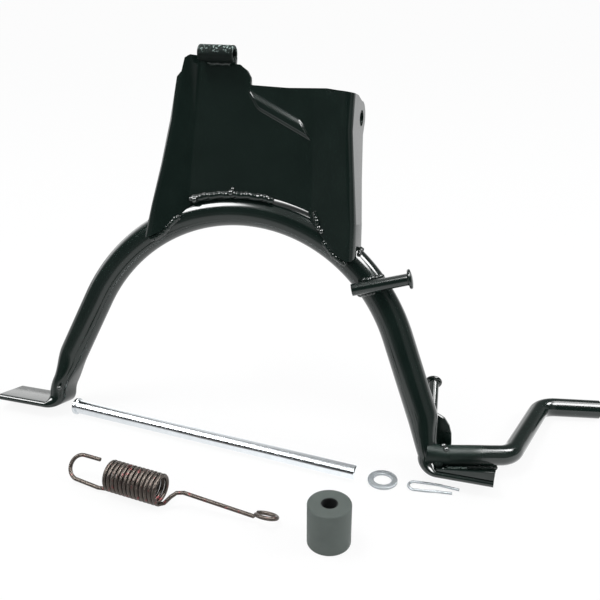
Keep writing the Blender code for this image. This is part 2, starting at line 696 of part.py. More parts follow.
def stop_rubber(group, finish, parent):
    outer, inner, tall, edge = RUBBER_DIAMETER / 2, RUBBER_BORE / 2, RUBBER_HEIGHT, RUBBER_EDGE
    profile = [(inner, tall - edge / 2), (inner + edge / 2, tall), (outer - edge, tall),
               (outer - edge * 0.3, tall - edge * 0.3), (outer, tall - edge), (outer, edge), (outer - edge, 0.0),
               (inner + edge / 2, 0.0), (inner, edge / 2)]
    obj = turned("stop_rubber", profile, group, finish, parent, steps=36)
    obj.location = (*RUBBER_PLACE, 0.0)
    return obj


def split_pin(group, finish, parent):
    """One wire bent into an eye and two spread legs, lying flat."""
    eye = [Vector((x, y, 0)) for x, y in arc((0, 0), COTTER_EYE, radians(80), radians(290), 14)]
    long_leg = [Vector((x, y, 0)) for x, y in COTTER_LONG_LEG]
    short_leg = [Vector((x, y, 0)) for x, y in COTTER_SHORT_LEG]
    obj = curve_object("split_pin", long_leg + eye + short_leg, COTTER_WIRE / 2, group, finish, parent)
    obj.location = (*COTTER_PLACE, COTTER_WIRE / 2)
    return obj


def return_spring(group, finish, parent):
    """Close coils along X, a hook at the left, a long arm with an eye at the right."""
    coil = (SPRING_DIAMETER - SPRING_WIRE) / 2
    pitch = SPRING_WIRE + SPRING_COIL_GAP
    hook, eye = SPRING_HOOK_RADIUS, SPRING_EYE_RADIUS
    up = Vector((0, sin(SPRING_HOOK_TILT), cos(SPRING_HOOK_TILT)))
    across = Vector((1, 0, 0))
    rest = SPRING_DIAMETER / 2
    hook_centre = Vector(SPRING_HOOK_PLACE)
    path = [hook_centre + hook * (cos(a) * across + sin(a) * up)
            for a in [radians(58 + 20.5 * index) for index in range(11)]]
    path.append(Vector((-0.0065, 0, 0)) - 1.07 * coil * up)
    start = atan2(-cos(SPRING_HOOK_TILT), -sin(SPRING_HOOK_TILT))
    for index in range(SPRING_TURNS * COIL_POINTS + 1):
        turn = start + 2 * pi * index / COIL_POINTS
        path.append(Vector((pitch * index / COIL_POINTS, coil * cos(turn), coil * sin(turn))))
    body = SPRING_TURNS * pitch
    eye_height = SPRING_WIRE / 2 + eye * sin(SPRING_EYE_TILT) - rest
    path += [Vector((body + 0.0045, -coil * 0.46, -coil * 0.66)), Vector((body + 0.0080, -0.0010, -0.0032)),
             Vector((body + 0.0115, 0.0022, -0.0006)), Vector((*SPRING_ARM_START, 0)),
             Vector((*SPRING_ARM_END, eye_height))]
    side = Vector((0, cos(SPRING_EYE_TILT), -sin(SPRING_EYE_TILT)))
    eye_centre = Vector((*SPRING_EYE_PLACE, eye_height))
    path += [eye_centre + eye * (cos(a) * across + sin(a) * side)
             for a in [radians(215 + 24 * index) for index in range(14)]]
    obj = curve_object("return_spring", path, SPRING_WIRE / 2, group, finish, parent)
    obj.location = (*SPRING_LEFT, rest)
    obj.rotation_euler = (0, 0, SPRING_TURN)
    return obj


def bounds(objects):
    graph = bpy.context.evaluated_depsgraph_get()
    low = Vector((1e9, 1e9, 1e9))
    high = -low
    for obj in objects:
        shown = obj.evaluated_get(graph)
        mesh = shown.to_mesh()
        for vert in mesh.vertices:
            place = obj.matrix_world @ vert.co
            low = Vector(map(min, low, place))
            high = Vector(map(max, high, place))
        shown.to_mesh_clear()
    return low, high


def build():
    clear_scene()
    parts = bpy.data.collections.new("centre_stand")
    cutters = bpy.data.collections.new("cutters")
    bpy.context.scene.collection.children.link(parts)
    bpy.context.scene.collection.children.link(cutters)
    enamel = material("black_enamel", (0.008, 0.011, 0.010), 0.0, 0.12)
    zinc = material("bright_zinc", (0.72, 0.74, 0.76), 1.0, 0.28)
    spring_steel = material("oiled_spring_steel", (0.18, 0.15, 0.13), 1.0, 0.42)
    rubber = material("grey_rubber", (0.055, 0.062, 0.068), 0.0, 0.62)

    floor = bpy.data.objects.new("floor_frame", None)
    stand = bpy.data.objects.new("stand_frame", None)
    parts.objects.link(floor)
    parts.objects.link(stand)
    stand.parent = floor
    stand.location = (0, 0, SOLE_LIFT)
    stand.rotation_euler = (-LEAN_BACK, 0, 0)

    tube = main_tube("main_tube", 0.0, parts, enamel, stand)
    tube_room = as_cutter(main_tube("tube_room", CLEAR, cutters, None, stand))
    sheet = bracket("bracket", SHEET, parts, cutters, enamel, stand)
    cut_bracket(sheet, cutters, stand)
    boolean(sheet, tube_room, "DIFFERENCE")
    sheet_room = as_cutter(bracket("bracket_room", SHEET + 2 * CLEAR, cutters, cutters, None, stand))
    cut_bracket(sheet_room, cutters, stand)

    stop_tube("stop_tube", 0.0, parts, enamel, stand)
    stop_room = as_cutter(stop_tube("stop_room", CLEAR, cutters, None, stand))

    spring_peg = headed_peg("spring_peg", *spring_peg_ends(), SPRING_PEG_DIAMETER,
                            SPRING_PEG_HEAD_DIAMETER, SPRING_PEG_HEAD_THICKNESS, parts, enamel, stand)
    boolean(spring_peg, tube_room, "DIFFERENCE")
    peg_room = as_cutter(headed_peg("spring_peg_room", *spring_peg_ends(), SPRING_PEG_DIAMETER + 2 * CLEAR,
                                    SPRING_PEG_HEAD_DIAMETER, SPRING_PEG_HEAD_THICKNESS, cutters, None, stand))

    curve_object("kick_lever", lever_path(), LEVER_RADIUS, parts, enamel, stand)
    lever_room = as_cutter(to_mesh(curve_object("lever_room", lever_path(), LEVER_RADIUS + CLEAR, cutters,
                                                None, stand)))
    toe = toe_plate("lever_toe_plate", TOE_PLATE_THICKNESS, parts, enamel, stand)
    boolean(toe, lever_room, "DIFFERENCE")
    boolean(toe, tube_room, "DIFFERENCE")
    gusset = bumper_bracket("bumper_bracket", BUMPER_PLATE, parts, enamel, stand)
    boolean(gusset, tube_room, "DIFFERENCE")
    boolean(gusset, lever_room, "DIFFERENCE")
    bumper_peg = headed_peg("bumper_peg", *bumper_peg_ends(), BUMPER_PEG_DIAMETER,
                            BUMPER_PEG_HEAD_DIAMETER, BUMPER_PEG_HEAD_THICKNESS, parts, enamel, stand)
    boolean(bumper_peg, tube_room, "DIFFERENCE")

    gusset_room = as_cutter(bumper_bracket("bumper_bracket_room", BUMPER_PLATE + 2 * CLEAR, cutters, None, stand))
    bumper_peg_room = as_cutter(headed_peg("bumper_peg_room", *bumper_peg_ends(),
                                           BUMPER_PEG_DIAMETER + 2 * CLEAR, BUMPER_PEG_HEAD_DIAMETER,
                                           BUMPER_PEG_HEAD_THICKNESS, cutters, None, stand))
    boolean(bumper_peg, gusset_room, "DIFFERENCE")
    toe_room = as_cutter(toe_plate("toe_plate_room", TOE_PLATE_THICKNESS + 2 * CLEAR, cutters, None, stand))

    web_path = around_arch(ARCH_RADIUS + TUBE_RADIUS + WEB_BEAD_OVER, WEB_FRONT + 0.0008, *WEB_BEAD_ENDS)
    bead("weld_web", web_path, WEB_BEAD_RADIUS, parts, enamel, stand, (tube_room, sheet_room))
    low_row = BRACKET_ROWS[0]
    for name, path in (("weld_lip_left", under_lip(LIP_LEFT[3:9], low_row[2], low_row[1])),
                       ("weld_lip_right", under_lip(LIP_RIGHT[2:7], low_row[3], low_row[4]))):
        bead(name, path, LIP_BEAD_RADIUS, parts, enamel, stand, (tube_room, sheet_room))
    fold_path = [(x, setback, CREST + rise) for x, setback, rise in FOLD_BEAD]
    bead("weld_fold_right", fold_path, SEAM_BEAD_RADIUS, parts, enamel, stand, (tube_room, sheet_room))
    for name, side_x in zip(("weld_flange_left", "weld_flange_right"), FLANGE_BEAD_PLACES):
        bead(name, over_tube(side_x), SEAM_BEAD_RADIUS, parts, enamel, stand, (tube_room, sheet_room))
    seam_height = CREST + EAR_RISE + STOP_TUBE_OVER - 0.93 * STOP_TUBE_DIAMETER / 2
    seam_inset = 2 * SEAM_BEAD_RADIUS
    seam = [(STOP_TUBE_LEFT + seam_inset, WEB_FRONT - 0.0012, seam_height),
            (STOP_TUBE_RIGHT - seam_inset, WEB_FRONT - 0.0012, seam_height)]
    bead("weld_stop_tube", seam, SEAM_BEAD_RADIUS, parts, enamel, stand, (stop_room, sheet_room))
    for name, side in (("weld_spring_peg_upper", 1), ("weld_spring_peg_lower", -1)):
        bead(name, beside_peg(side), SEAM_BEAD_RADIUS, parts, enamel, stand, (tube_room, peg_room))
    bead("weld_lever", around_lever(), SEAM_BEAD_RADIUS, parts, enamel, stand,
         (tube_room, lever_room, toe_room, gusset_room))
    top = FOOT_THICKNESS + 0.0012
    toe_rear = -FOOT_DEPTH / 2 + TOE_PLATE_THICKNESS + TOE_PLATE_INSET
    bead("weld_toe_plate", [(HEEL + x, toe_rear, top) for x in TOE_BEAD_ENDS], SEAM_BEAD_RADIUS * 0.8, parts,
         enamel, stand, (tube_room, toe_room, lever_room))
    gusset_rear = BUMPER_PLATE_BACK + BUMPER_PLATE / 2 + 0.0008
    gusset_path = [(HEEL + 0.0117, gusset_rear, top), (HEEL + 0.0048, gusset_rear, top)]
    for height, outside in GUSSET_BEAD:
        gusset_path.append((leg_point(height).x + outside, gusset_rear, height))
    bead("weld_bumper_bracket", gusset_path, SEAM_BEAD_RADIUS, parts, enamel, stand,
         (tube_room, gusset_room, lever_room, bumper_peg_room))

    pivot_pin(parts, zinc, floor)
    pivot_washer(parts, zinc, floor)
    split_pin(parts, zinc, floor)
    return_spring(parts, spring_steel, floor)
    stop_rubber(parts, rubber, floor)

    bpy.context.view_layer.update()
    low, high = bounds([obj for obj in parts.objects if obj.type in {"MESH", "CURVE"}])
    floor.location = (-(low.x + high.x) / 2, -(low.y + high.y) / 2, -low.z)
    bpy.context.view_layer.update()


build()
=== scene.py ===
"""Motorcycle centre stand with its loose fittings, on a white table under soft studio light.

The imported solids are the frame. The tube, bars, pegs, springs and welds are made again here with
finer shapes at the same places, and every surface gets the finish of the real one.
Stand pieces are worked out upright, with X across, Y to the rear and Z up along the stand, and
then lean back with it. Lengths are in metres.
"""

from math import acos, atan2, ceil, cos, pi, radians, sin, sqrt, tan

import bmesh
import bpy
from mathutils import Matrix, Vector


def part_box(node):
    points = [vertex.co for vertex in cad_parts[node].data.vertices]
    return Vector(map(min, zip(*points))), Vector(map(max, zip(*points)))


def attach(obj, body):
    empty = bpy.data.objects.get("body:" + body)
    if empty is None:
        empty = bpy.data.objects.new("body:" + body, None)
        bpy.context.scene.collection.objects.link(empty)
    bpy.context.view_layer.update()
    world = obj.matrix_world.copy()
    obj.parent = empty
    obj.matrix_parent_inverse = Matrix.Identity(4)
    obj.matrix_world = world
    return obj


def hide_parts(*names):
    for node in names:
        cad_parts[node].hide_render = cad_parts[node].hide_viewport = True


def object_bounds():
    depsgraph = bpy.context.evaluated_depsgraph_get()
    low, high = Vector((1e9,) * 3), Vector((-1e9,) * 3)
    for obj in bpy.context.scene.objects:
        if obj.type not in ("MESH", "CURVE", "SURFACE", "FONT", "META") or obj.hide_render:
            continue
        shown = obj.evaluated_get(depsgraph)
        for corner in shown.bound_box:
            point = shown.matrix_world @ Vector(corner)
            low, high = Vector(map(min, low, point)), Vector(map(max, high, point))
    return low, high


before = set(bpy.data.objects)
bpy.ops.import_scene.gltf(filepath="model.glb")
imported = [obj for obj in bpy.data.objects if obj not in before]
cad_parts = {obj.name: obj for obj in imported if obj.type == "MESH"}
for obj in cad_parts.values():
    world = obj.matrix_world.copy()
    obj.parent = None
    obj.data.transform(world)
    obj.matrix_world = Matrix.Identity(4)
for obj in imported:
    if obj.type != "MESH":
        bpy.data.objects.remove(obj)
cad_low, cad_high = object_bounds()

# Main tube, feet and lean, as in the solids
TUBE_RADIUS = 0.0125
ARCH_RADIUS = 0.1478
ARCH_CENTRE_HEIGHT = 0.0465
LEG_SPLAY = radians(23.2)
LEAN_BACK = radians(16.0)
FOOT_LENGTH = 0.0515
FOOT_THICKNESS = 0.0055
FOOT_DEPTH = 0.0385
HEEL_DEPTH = 0.0390
STRIP_INSET = 0.0060

# The end of each leg is pressed oval, and flat only past the heel: centre offset, half thickness
# and depth of the oval, heel radius, pressing from and to
RIGHT_PRESSING = (0.0034, 0.0085, 0.0290, 0.0090, 0.0450, 0.0140)
LEFT_PRESSING = (0.0036, 0.0078, 0.0300, 0.0085, 0.0520, 0.0190)

# Bracket of folded sheet, and the gap kept between welded pieces
SHEET = 0.0030
WEB_SETBACK = -0.0090
CORNER_SETBACK = -0.0200
WEB_LOWERING = 0.0010
CLEAR = 0.0003

# Pressed rib across the web: place on the web, slope, and halves of its length and width
RIB_PLACE = (0.0237, 0.0798)
RIB_SLOPE = radians(25.0)
RIB_REACH = 0.0270
RIB_SPREAD = 0.0056
RIB_HEIGHT = 0.0026
RIB_END_SLANT = 0.0091

# Stop tube on the ear
STOP_TUBE_RADIUS = 0.0069
STOP_TUBE_BORE = 0.0040
STOP_TUBE_LEFT = -0.0446
STOP_TUBE_LENGTH = 0.0298
STOP_TUBE_EDGE = 0.0006
EAR_RISE = 0.1232
STOP_TUBE_OVER = 0.0011

# Spring peg and bumper peg: diameter, diameter and thickness of the head
SPRING_PEG = (0.0096, 0.0160, 0.0034)
SPRING_PEG_BEARING = radians(43.8)
SPRING_PEG_INSET = 0.0112
SPRING_PEG_STANDOFF = 0.0066
SPRING_PEG_RUN = Vector((0.0430, 0.0060, 0.0129))
BUMPER_PEG = (0.0090, 0.0144, 0.0040)

# Kick lever, a round bar with two bends
LEVER_RADIUS = 0.00825
LEVER_LIFT = 0.0020
LEVER_BEND_RADIUS = 0.0205
LEVER_CHAMFER = 0.0009

# Fittings, laid out on the table
PIN_RADIUS = 0.0060
PIN_LENGTH = 0.2705
PIN_HEAD_RADIUS = 0.0075
PIN_LEFT_END = Vector((-0.1526, -0.0027))
PIN_TURN = radians(-4.63)
PIN_END = PIN_LEFT_END + PIN_LENGTH * Vector((cos(PIN_TURN), sin(PIN_TURN)))
WASHER_RADIUS = 0.0120
WASHER_HOLE = 0.0073
WASHER_THICKNESS = 0.0022
WASHER_PLACE = PIN_END + Vector((0.0212, 0.0037))
COTTER_WIRE = 0.0011
COTTER_EYE = 0.0054
COTTER_PLACE = WASHER_PLACE + Vector((0.0264, 0.0001))
RUBBER_RADIUS = 0.0161
RUBBER_BORE = 0.0056
RUBBER_HEIGHT = 0.0342
RUBBER_PLACE = Vector((0.1160, -0.1034))

# Return spring: hook, close coils, long arm and eye
SPRING_WIRE = 0.0032
SPRING_DIAMETER = 0.0252
SPRING_TURNS = 13
SPRING_COIL_GAP = 0.00055
SPRING_LEFT = Vector((-0.0665, -0.0940))
SPRING_TURN = radians(-6.5)
HOOK_RADIUS = 0.0099
HOOK_TILT = radians(38.0)
EYE_RADIUS = 0.0082
EYE_TILT = radians(28.0)

CREST = ARCH_CENTRE_HEIGHT + ARCH_RADIUS
ARCH_CENTRE = Vector((0, ARCH_CENTRE_HEIGHT))
WEB_FRONT = WEB_SETBACK - SHEET / 2
SOLE_EDGE = FOOT_THICKNESS / 2
SOLE_LIFT = (HEEL_DEPTH / 2 - SOLE_EDGE) * sin(LEAN_BACK) + SOLE_EDGE * (1 - cos(LEAN_BACK))
LEG_TOP = (ARCH_RADIUS * cos(LEG_SPLAY), ARCH_CENTRE_HEIGHT + ARCH_RADIUS * sin(LEG_SPLAY))
HEEL = (LEG_TOP[0] + (LEG_TOP[1] - FOOT_THICKNESS / 2) * tan(LEG_SPLAY)
        - STRIP_INSET / cos(LEG_SPLAY))
FOOT_END = HEEL + FOOT_LENGTH
STOP_SETBACK = WEB_FRONT - CLEAR - STOP_TUBE_RADIUS
STOP_HEIGHT = CREST + EAR_RISE + STOP_TUBE_OVER

# The stop rubber stands upright in the solids, so it gives the place of the table
rubber_low, rubber_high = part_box("stop_rubber")
TABLE = Vector(((rubber_low.x + rubber_high.x) / 2 - RUBBER_PLACE.x,
                (rubber_low.y + rubber_high.y) / 2 - RUBBER_PLACE.y, rubber_low.z))
ON_TABLE = Matrix.Translation(TABLE)
STAND = Matrix.Translation(TABLE + Vector((0, 0, SOLE_LIFT))) @ Matrix.Rotation(-LEAN_BACK, 4, "X")


# Shapes

def finished(name, bm, finish, nodes=(), place=None, sharp=35.0):
    """Makes the bmesh a piece of the object that rides on the frame and stands for the nodes."""
    bmesh.ops.remove_doubles(bm, verts=bm.verts, dist=0.000001)
    if place:
        bmesh.ops.transform(bm, verts=bm.verts, matrix=place)
    bmesh.ops.recalc_face_normals(bm, faces=bm.faces)
    mesh = bpy.data.meshes.new(name)
    bm.to_mesh(mesh)
    bm.free()
    mesh.shade_smooth()
    mesh.set_sharp_from_angle(angle=radians(sharp))
    piece = bpy.data.objects.new(name, mesh)
    bpy.context.scene.collection.objects.link(piece)
    mesh.materials.append(finish)
    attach(piece, "root")
    if nodes:
        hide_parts(*nodes)
    return piece


def ring(bm, matrix, sides, section=None):
    """One closed ring of a swept shape; section moves the points of a unit circle first."""
    verts = bmesh.ops.create_circle(bm, segments=sides, radius=1.0)["verts"]
    for vert in verts:
        vert.co = matrix @ (section(vert.co) if section else vert.co)
    return list({edge for vert in verts for edge in vert.link_edges})


def skin(bm, rings):
    """Joins the rings one after the other and closes both ends."""
    for near, far in zip(rings, rings[1:]):
        bmesh.ops.bridge_loops(bm, edges=near + far)
    for end in (rings[0], rings[-1]):
        bmesh.ops.contextual_create(bm, geom=end)


def sweep(points, radii, sides):
    """A round bar or wire along the points, without twist."""
    bm = bmesh.new()
    points = [Vector(point) for point in points]
    tangents = []
    for index in range(len(points)):
        before = points[max(index - 1, 0)]
        after = points[min(index + 1, len(points) - 1)]
        tangents.append((after - before).normalized())
    turn = tangents[0].to_track_quat("Z", "Y")
    rings = []
    for index, point in enumerate(points):
        if index:
            turn = tangents[index - 1].rotation_difference(tangents[index]) @ turn
        radius = radii[index] if isinstance(radii, list) else radii
        size = Matrix.Diagonal((radius, radius, radius, 1))
        place = Matrix.Translation(point) @ turn.to_matrix().to_4x4() @ size
        rings.append(ring(bm, place, sides))
    skin(bm, rings)
    return bm


def lathe(profile, steps=64):
    """Spins a closed (radius, height) profile about Z."""
    bm = bmesh.new()
    verts = [bm.verts.new((radius, 0, height)) for radius, height in profile]
    edges = [bm.edges.new((verts[index - 1], verts[index])) for index in range(len(verts))
             if verts[index - 1].co.x > 0 or verts[index].co.x > 0]
    bmesh.ops.spin(bm, geom=verts + edges, cent=(0, 0, 0), axis=(0, 0, 1), angle=2 * pi,
                   steps=steps, use_merge=True)
    bmesh.ops.remove_doubles(bm, verts=bm.verts, dist=0.000002)
    bmesh.ops.recalc_face_normals(bm, faces=bm.faces)
    return bm


def towards(root, tip):
    """Places a shape made along +Z so that it runs from root toward tip."""
    root, tip = Vector(root), Vector(tip)
    return Matrix.Translation(root) @ (tip - root).to_track_quat("Z", "Y").to_matrix().to_4x4()


def corner_arc(radius, height, size, start, end, count=5):
    """Rounds the corner of a turned profile about (radius, height)."""
    angles = [start + (end - start) * index / count for index in range(count + 1)]
    return [(radius + size * cos(a), height + size * sin(a)) for a in angles]


def filleted(corners, radius, count=12):
    """A path through the corners, each inner corner rounded with the radius."""
    points = [Vector(corners[0])]
    for before, corner, after in zip(corners, corners[1:], corners[2:]):
        corner = Vector(corner)
        back = (Vector(before) - corner).normalized()
        ahead = (Vector(after) - corner).normalized()
        half = acos(max(-1.0, min(1.0, back.dot(ahead)))) / 2
        centre = corner + (back + ahead).normalized() * (radius / sin(half))
        first = corner + back * (radius / tan(half)) - centre
        last = corner + ahead * (radius / tan(half)) - centre
        swing = first.angle(last)
        for index in range(count + 1):
            share = index / count
            points.append(centre + first * sin(swing * (1 - share)) / sin(swing)
                          + last * sin(swing * share) / sin(swing))
    points.append(Vector(corners[-1]))
    return points


def evenly(path, step):
    """Points along the path, at equal steps."""
    path = [Vector(place) for place in path]
    points = [path[0]]
    for near, far in zip(path, path[1:]):
        count = max(1, ceil((far - near).length / step))
        points += [near.lerp(far, (index + 1) / count) for index in range(count)]
    return points


def eased(share):
    """A soft step from 0 to 1."""
    share = max(0.0, min(1.0, share))
    return share * share * (3 - 2 * share)


def leg_point(height):
    """The place of the right leg's centre line at a height, across and up."""
    return Vector((LEG_TOP[0] + (LEG_TOP[1] - height) * tan(LEG_SPLAY), height))


def arch_height(x, radius):
    """The height of the arch at x, at a radius about its centre."""
    return ARCH_CENTRE_HEIGHT + sqrt(radius ** 2 - x ** 2)


def from_floor(x, y, z):
    """A place measured from the table, given in the upright stand."""
    rise = z - SOLE_LIFT
    return Vector((x, y * cos(LEAN_BACK) - rise * sin(LEAN_BACK),
                   y * sin(LEAN_BACK) + rise * cos(LEAN_BACK)))


def bow_half(offset, full, deep, heel_radius, press_start, press_end):
    """Stations of one half, from the foot's end to the crest: centre, direction, share of pressing,
    depth, and half of the thickness where it is pressed. The flat foot turns up round the heel and
    swells to the oval, which drops straight from the pressing and then takes the leg's splay."""
    level = FOOT_THICKNESS / 2
    drop = leg_point(press_end).x - offset / cos(LEG_SPLAY)
    stations = [(Vector((FOOT_END, level)), pi, 1.0, FOOT_DEPTH, level),
                (Vector((FOOT_END - 0.0004, level)), pi, 1.0, FOOT_DEPTH, level),
                (Vector((drop + heel_radius + 0.0020, level)), pi, 1.0, HEEL_DEPTH, level)]
    for index in range(17):
        share = eased(index / 16)
        swing = pi / 2 * index / 16
        place = Vector((drop + heel_radius * (1 - sin(swing)), level + heel_radius * (1 - cos(swing))))
        stations.append((place, pi - swing, 1.0, HEEL_DEPTH + (deep - HEEL_DEPTH) * share,
                         level + (full - level) * share))
    bend = min(0.0060, max(0.0010, press_end - level - heel_radius - 0.0005))
    for index in range(1, 9):
        share = index / 8
        place = Vector((drop - tan(LEG_SPLAY) * bend * share * share,
                        press_end + bend * (2 * share - 1)))
        stations.append((place, pi / 2 + LEG_SPLAY * share, 1.0, deep, full))
    for index in range(1, 25):
        flat = 1 - eased(index / 24)
        height = press_end + bend + (press_start - press_end - bend) * index / 24
        place = leg_point(height) - Vector((offset / cos(LEG_SPLAY) * flat, 0))
        stations.append((place, pi / 2 + LEG_SPLAY, flat, deep, full))
    for index in range(8):
        place = leg_point(press_start + (LEG_TOP[1] - press_start) * (index + 1) / 9)
        stations.append((place, pi / 2 + LEG_SPLAY, 0.0, deep, full))
    for index in range(61):
        angle = LEG_SPLAY + (pi / 2 - LEG_SPLAY) * index / 60
        place = ARCH_CENTRE + ARCH_RADIUS * Vector((cos(angle), sin(angle)))
        stations.append((place, angle + pi / 2, 0.0, deep, full))
    return stations


def bow():
    """The bent tube with its pressed feet."""
    bm = bmesh.new()
    rings = []
    for side, half in ((1, bow_half(*RIGHT_PRESSING)), (-1, bow_half(*LEFT_PRESSING)[-2::-1])):
        for place, angle, flat, depth, thin in half:
            ease = 0.0003 if place.x == FOOT_END else 0.0
            thick = TUBE_RADIUS + (thin - TUBE_RADIUS) * flat - ease
            wide = TUBE_RADIUS + (depth / 2 - TUBE_RADIUS) * flat - ease
            across = Vector((-side * sin(angle), 0, cos(angle)))
            centre = Vector((side * place.x, 0, place.y))

            def section(co):
                half_side = 1 if co.y > 0.001 else -1 if co.y < -0.001 else 0
                rear = thick * co.y + (wide - thick) * half_side
                return centre + across * thick * co.x + Vector((0, rear, 0))

            rings.append(ring(bm, Matrix.Identity(4), 56, section))
    skin(bm, rings)
    return bm


def headed_peg(root, tip, diameter, head_diameter, head):
    """A round peg with a domed head and a small fillet below it."""
    length = (Vector(tip) - Vector(root)).length
    radius, wide = diameter / 2, head_diameter / 2
    edge = head * 0.42
    dome = wide - edge
    profile = [(0.0, 0.0), (radius, 0.0), (radius, length - 0.0012)]
    profile += corner_arc(radius + 0.0010, length - 0.0012, -0.0010, 0.0, -radians(60), 3)
    profile += corner_arc(dome, length + edge * 0.9, edge, -pi / 2, radians(55), 7)
    profile += [(dome * 0.62, length + head * 0.93), (dome * 0.30, length + head), (0.0, length + head)]
    bm = lathe(profile, 48)
    bmesh.ops.transform(bm, verts=bm.verts, matrix=towards(root, tip))
    return bm


def bead(path, radius, pitch, seed):
    """A weld run: overlapping scales at the pitch of the torch, with a slight sway and swell."""
    sway = 0.00025
    step = pitch / 5
    points = evenly(path, step)
    length = len(points) - 1
    places, radii = [], []
    for index, point in enumerate(points):
        phase = (index * step / pitch) % 1.0
        number = int(index * step / pitch)
        wobble = 0.07 * sin(2.3 * number + seed) + 0.04 * sin(5.1 * number + 2 * seed)
        near_end = min(1.0, 0.30 + min(index, length - index) / 5.0)
        drift = Vector((sin(1.7 * number + seed), sin(2.9 * number), sin(1.1 * number + 1)))
        places.append(point + drift * sway)
        radii.append(radius * near_end * (0.82 + 0.20 * sqrt(max(0.0, 1 - phase * phase)) + wobble))
    return sweep(places, radii, 14)


def press_web(bm):
    """Presses the plain rib of the web flat, as a finer one follows, and brings the web's lower
    edge closer to the tube."""
    upright = STAND.inverted()
    for vert in bm.verts:
        place = upright @ vert.co
        off = Vector((place.x, 0, place.z - ARCH_CENTRE_HEIGHT))
        in_web = abs(place.y - WEB_SETBACK) < SHEET / 2 + 0.0002 and place.x > -0.052
        if in_web and off.length < ARCH_RADIUS + TUBE_RADIUS:
            vert.co = STAND @ (place - WEB_LOWERING * off.normalized())
        near_rib = -0.030 < place.x < 0.070 and CREST + 0.045 < place.z < CREST + 0.110
        if near_rib and place.y < WEB_FRONT:
            place.y = WEB_FRONT
            vert.co = STAND @ place


def sheet_metal(name, node, finish, width, shape=None):
    """The cut and folded sheet of a node, its faces cleaned and its cut edges broken."""
    bm = bmesh.new()
    bm.from_mesh(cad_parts[node].data)
    if shape:
        shape(bm)
    bmesh.ops.remove_doubles(bm, verts=bm.verts, dist=0.00001)
    bmesh.ops.dissolve_limit(bm, angle_limit=radians(0.4), verts=bm.verts, edges=bm.edges)
    piece = finished(name, bm, finish, (node,), sharp=32.0)
    edge = piece.modifiers.new("broken_edge", "BEVEL")
    edge.width = width
    edge.segments = 2
    edge.limit_method = "ANGLE"
    edge.angle_limit = radians(50)
    flat = piece.modifiers.new("flat_faces", "WEIGHTED_NORMAL")
    flat.keep_sharp = True
    return piece


# Finishes

def srgb(code):
    """Turns a six digit colour code to linear light."""
    parts = [int(code[index:index + 2], 16) / 255 for index in (0, 2, 4)]
    return (*[c / 12.92 if c <= 0.04045 else ((c + 0.055) / 1.055) ** 2.4 for c in parts], 1.0)


def add(tree, kind, links=None, **settings):
    """Adds a node, with its settings, and its inputs set or linked. Inputs 1 to 4 of a Map Range are
    its ranges, from and to; inputs 6 and 7 of a Mix are its two colours, and 2 and 3 its values."""
    node = tree.nodes.new(kind)
    for key, value in settings.items():
        setattr(node, key, value)
    for socket, value in (links or {}).items():
        if isinstance(value, bpy.types.NodeSocket):
            tree.links.new(value, node.inputs[socket])
        else:
            node.inputs[socket].default_value = value
    return node


def new_finish(name):
    """An empty finish, its node tree and its shader."""
    finish = bpy.data.materials.new(name)
    finish.use_nodes = True
    tree = finish.node_tree
    return finish, tree, tree.nodes["Principled BSDF"]


def stoved_enamel(name, dull_until=None, shine=0.5):
    """Black enamel dipped and stoved on steel: deep gloss that mirrors the room, faintly green,
    with the slow waves of the film and a fine orange peel. Left of the place given it is duller,
    as the film lies over the rough scale beside a weld."""
    finish, tree, shader = new_finish(name)
    place = add(tree, "ShaderNodeTexCoord").outputs["Object"]
    # Clouds about 22 mm across in tone and shine
    cloud = add(tree, "ShaderNodeTexNoise", {"Vector": place, "Scale": 45.0, "Detail": 3.0}).outputs["Fac"]
    tone = add(tree, "ShaderNodeMix", {"Factor": cloud, 6: srgb("101a17"), 7: srgb("16221e")},
               data_type="RGBA")
    tree.links.new(tone.outputs[2], shader.inputs["Base Color"])
    gloss = add(tree, "ShaderNodeMapRange", {"Value": cloud, 1: 0.3, 2: 0.7, 3: 0.11, 4: 0.17})
    shader.inputs["Specular IOR Level"].default_value = shine
    if dull_until is not None:
        across = add(tree, "ShaderNodeSeparateXYZ", {0: place}).outputs["X"]
        scale = add(tree, "ShaderNodeMapRange",
                    {"Value": across, 1: dull_until - 0.016, 2: dull_until, 3: 0.30, 4: 0.0},
                    interpolation_type="SMOOTHSTEP")
        gloss = add(tree, "ShaderNodeMath", {0: gloss.outputs[0], 1: scale.outputs[0]}, operation="ADD")
        shining = add(tree, "ShaderNodeMapRange",
                      {"Value": scale.outputs[0], 1: 0.0, 2: 0.30, 3: shine, 4: 0.18})
        tree.links.new(shining.outputs[0], shader.inputs["Specular IOR Level"])
    tree.links.new(gloss.outputs[0], shader.inputs["Roughness"])
    # Film waves about 9 mm apart and orange peel about 1.2 mm apart
    waves = add(tree, "ShaderNodeTexNoise", {"Vector": place, "Scale": 110.0, "Detail": 1.0}).outputs["Fac"]
    peel = add(tree, "ShaderNodeTexNoise", {"Vector": place, "Scale": 800.0, "Detail": 2.0}).outputs["Fac"]
    slow = add(tree, "ShaderNodeBump", {"Height": waves, "Strength": 0.12, "Distance": 0.0003})
    fine = add(tree, "ShaderNodeBump", {"Height": peel, "Strength": 0.03, "Distance": 0.00005,
                                        "Normal": slow.outputs["Normal"]})
    tree.links.new(fine.outputs["Normal"], shader.inputs["Normal"])
    shader.inputs["IOR"].default_value = 1.5
    return finish


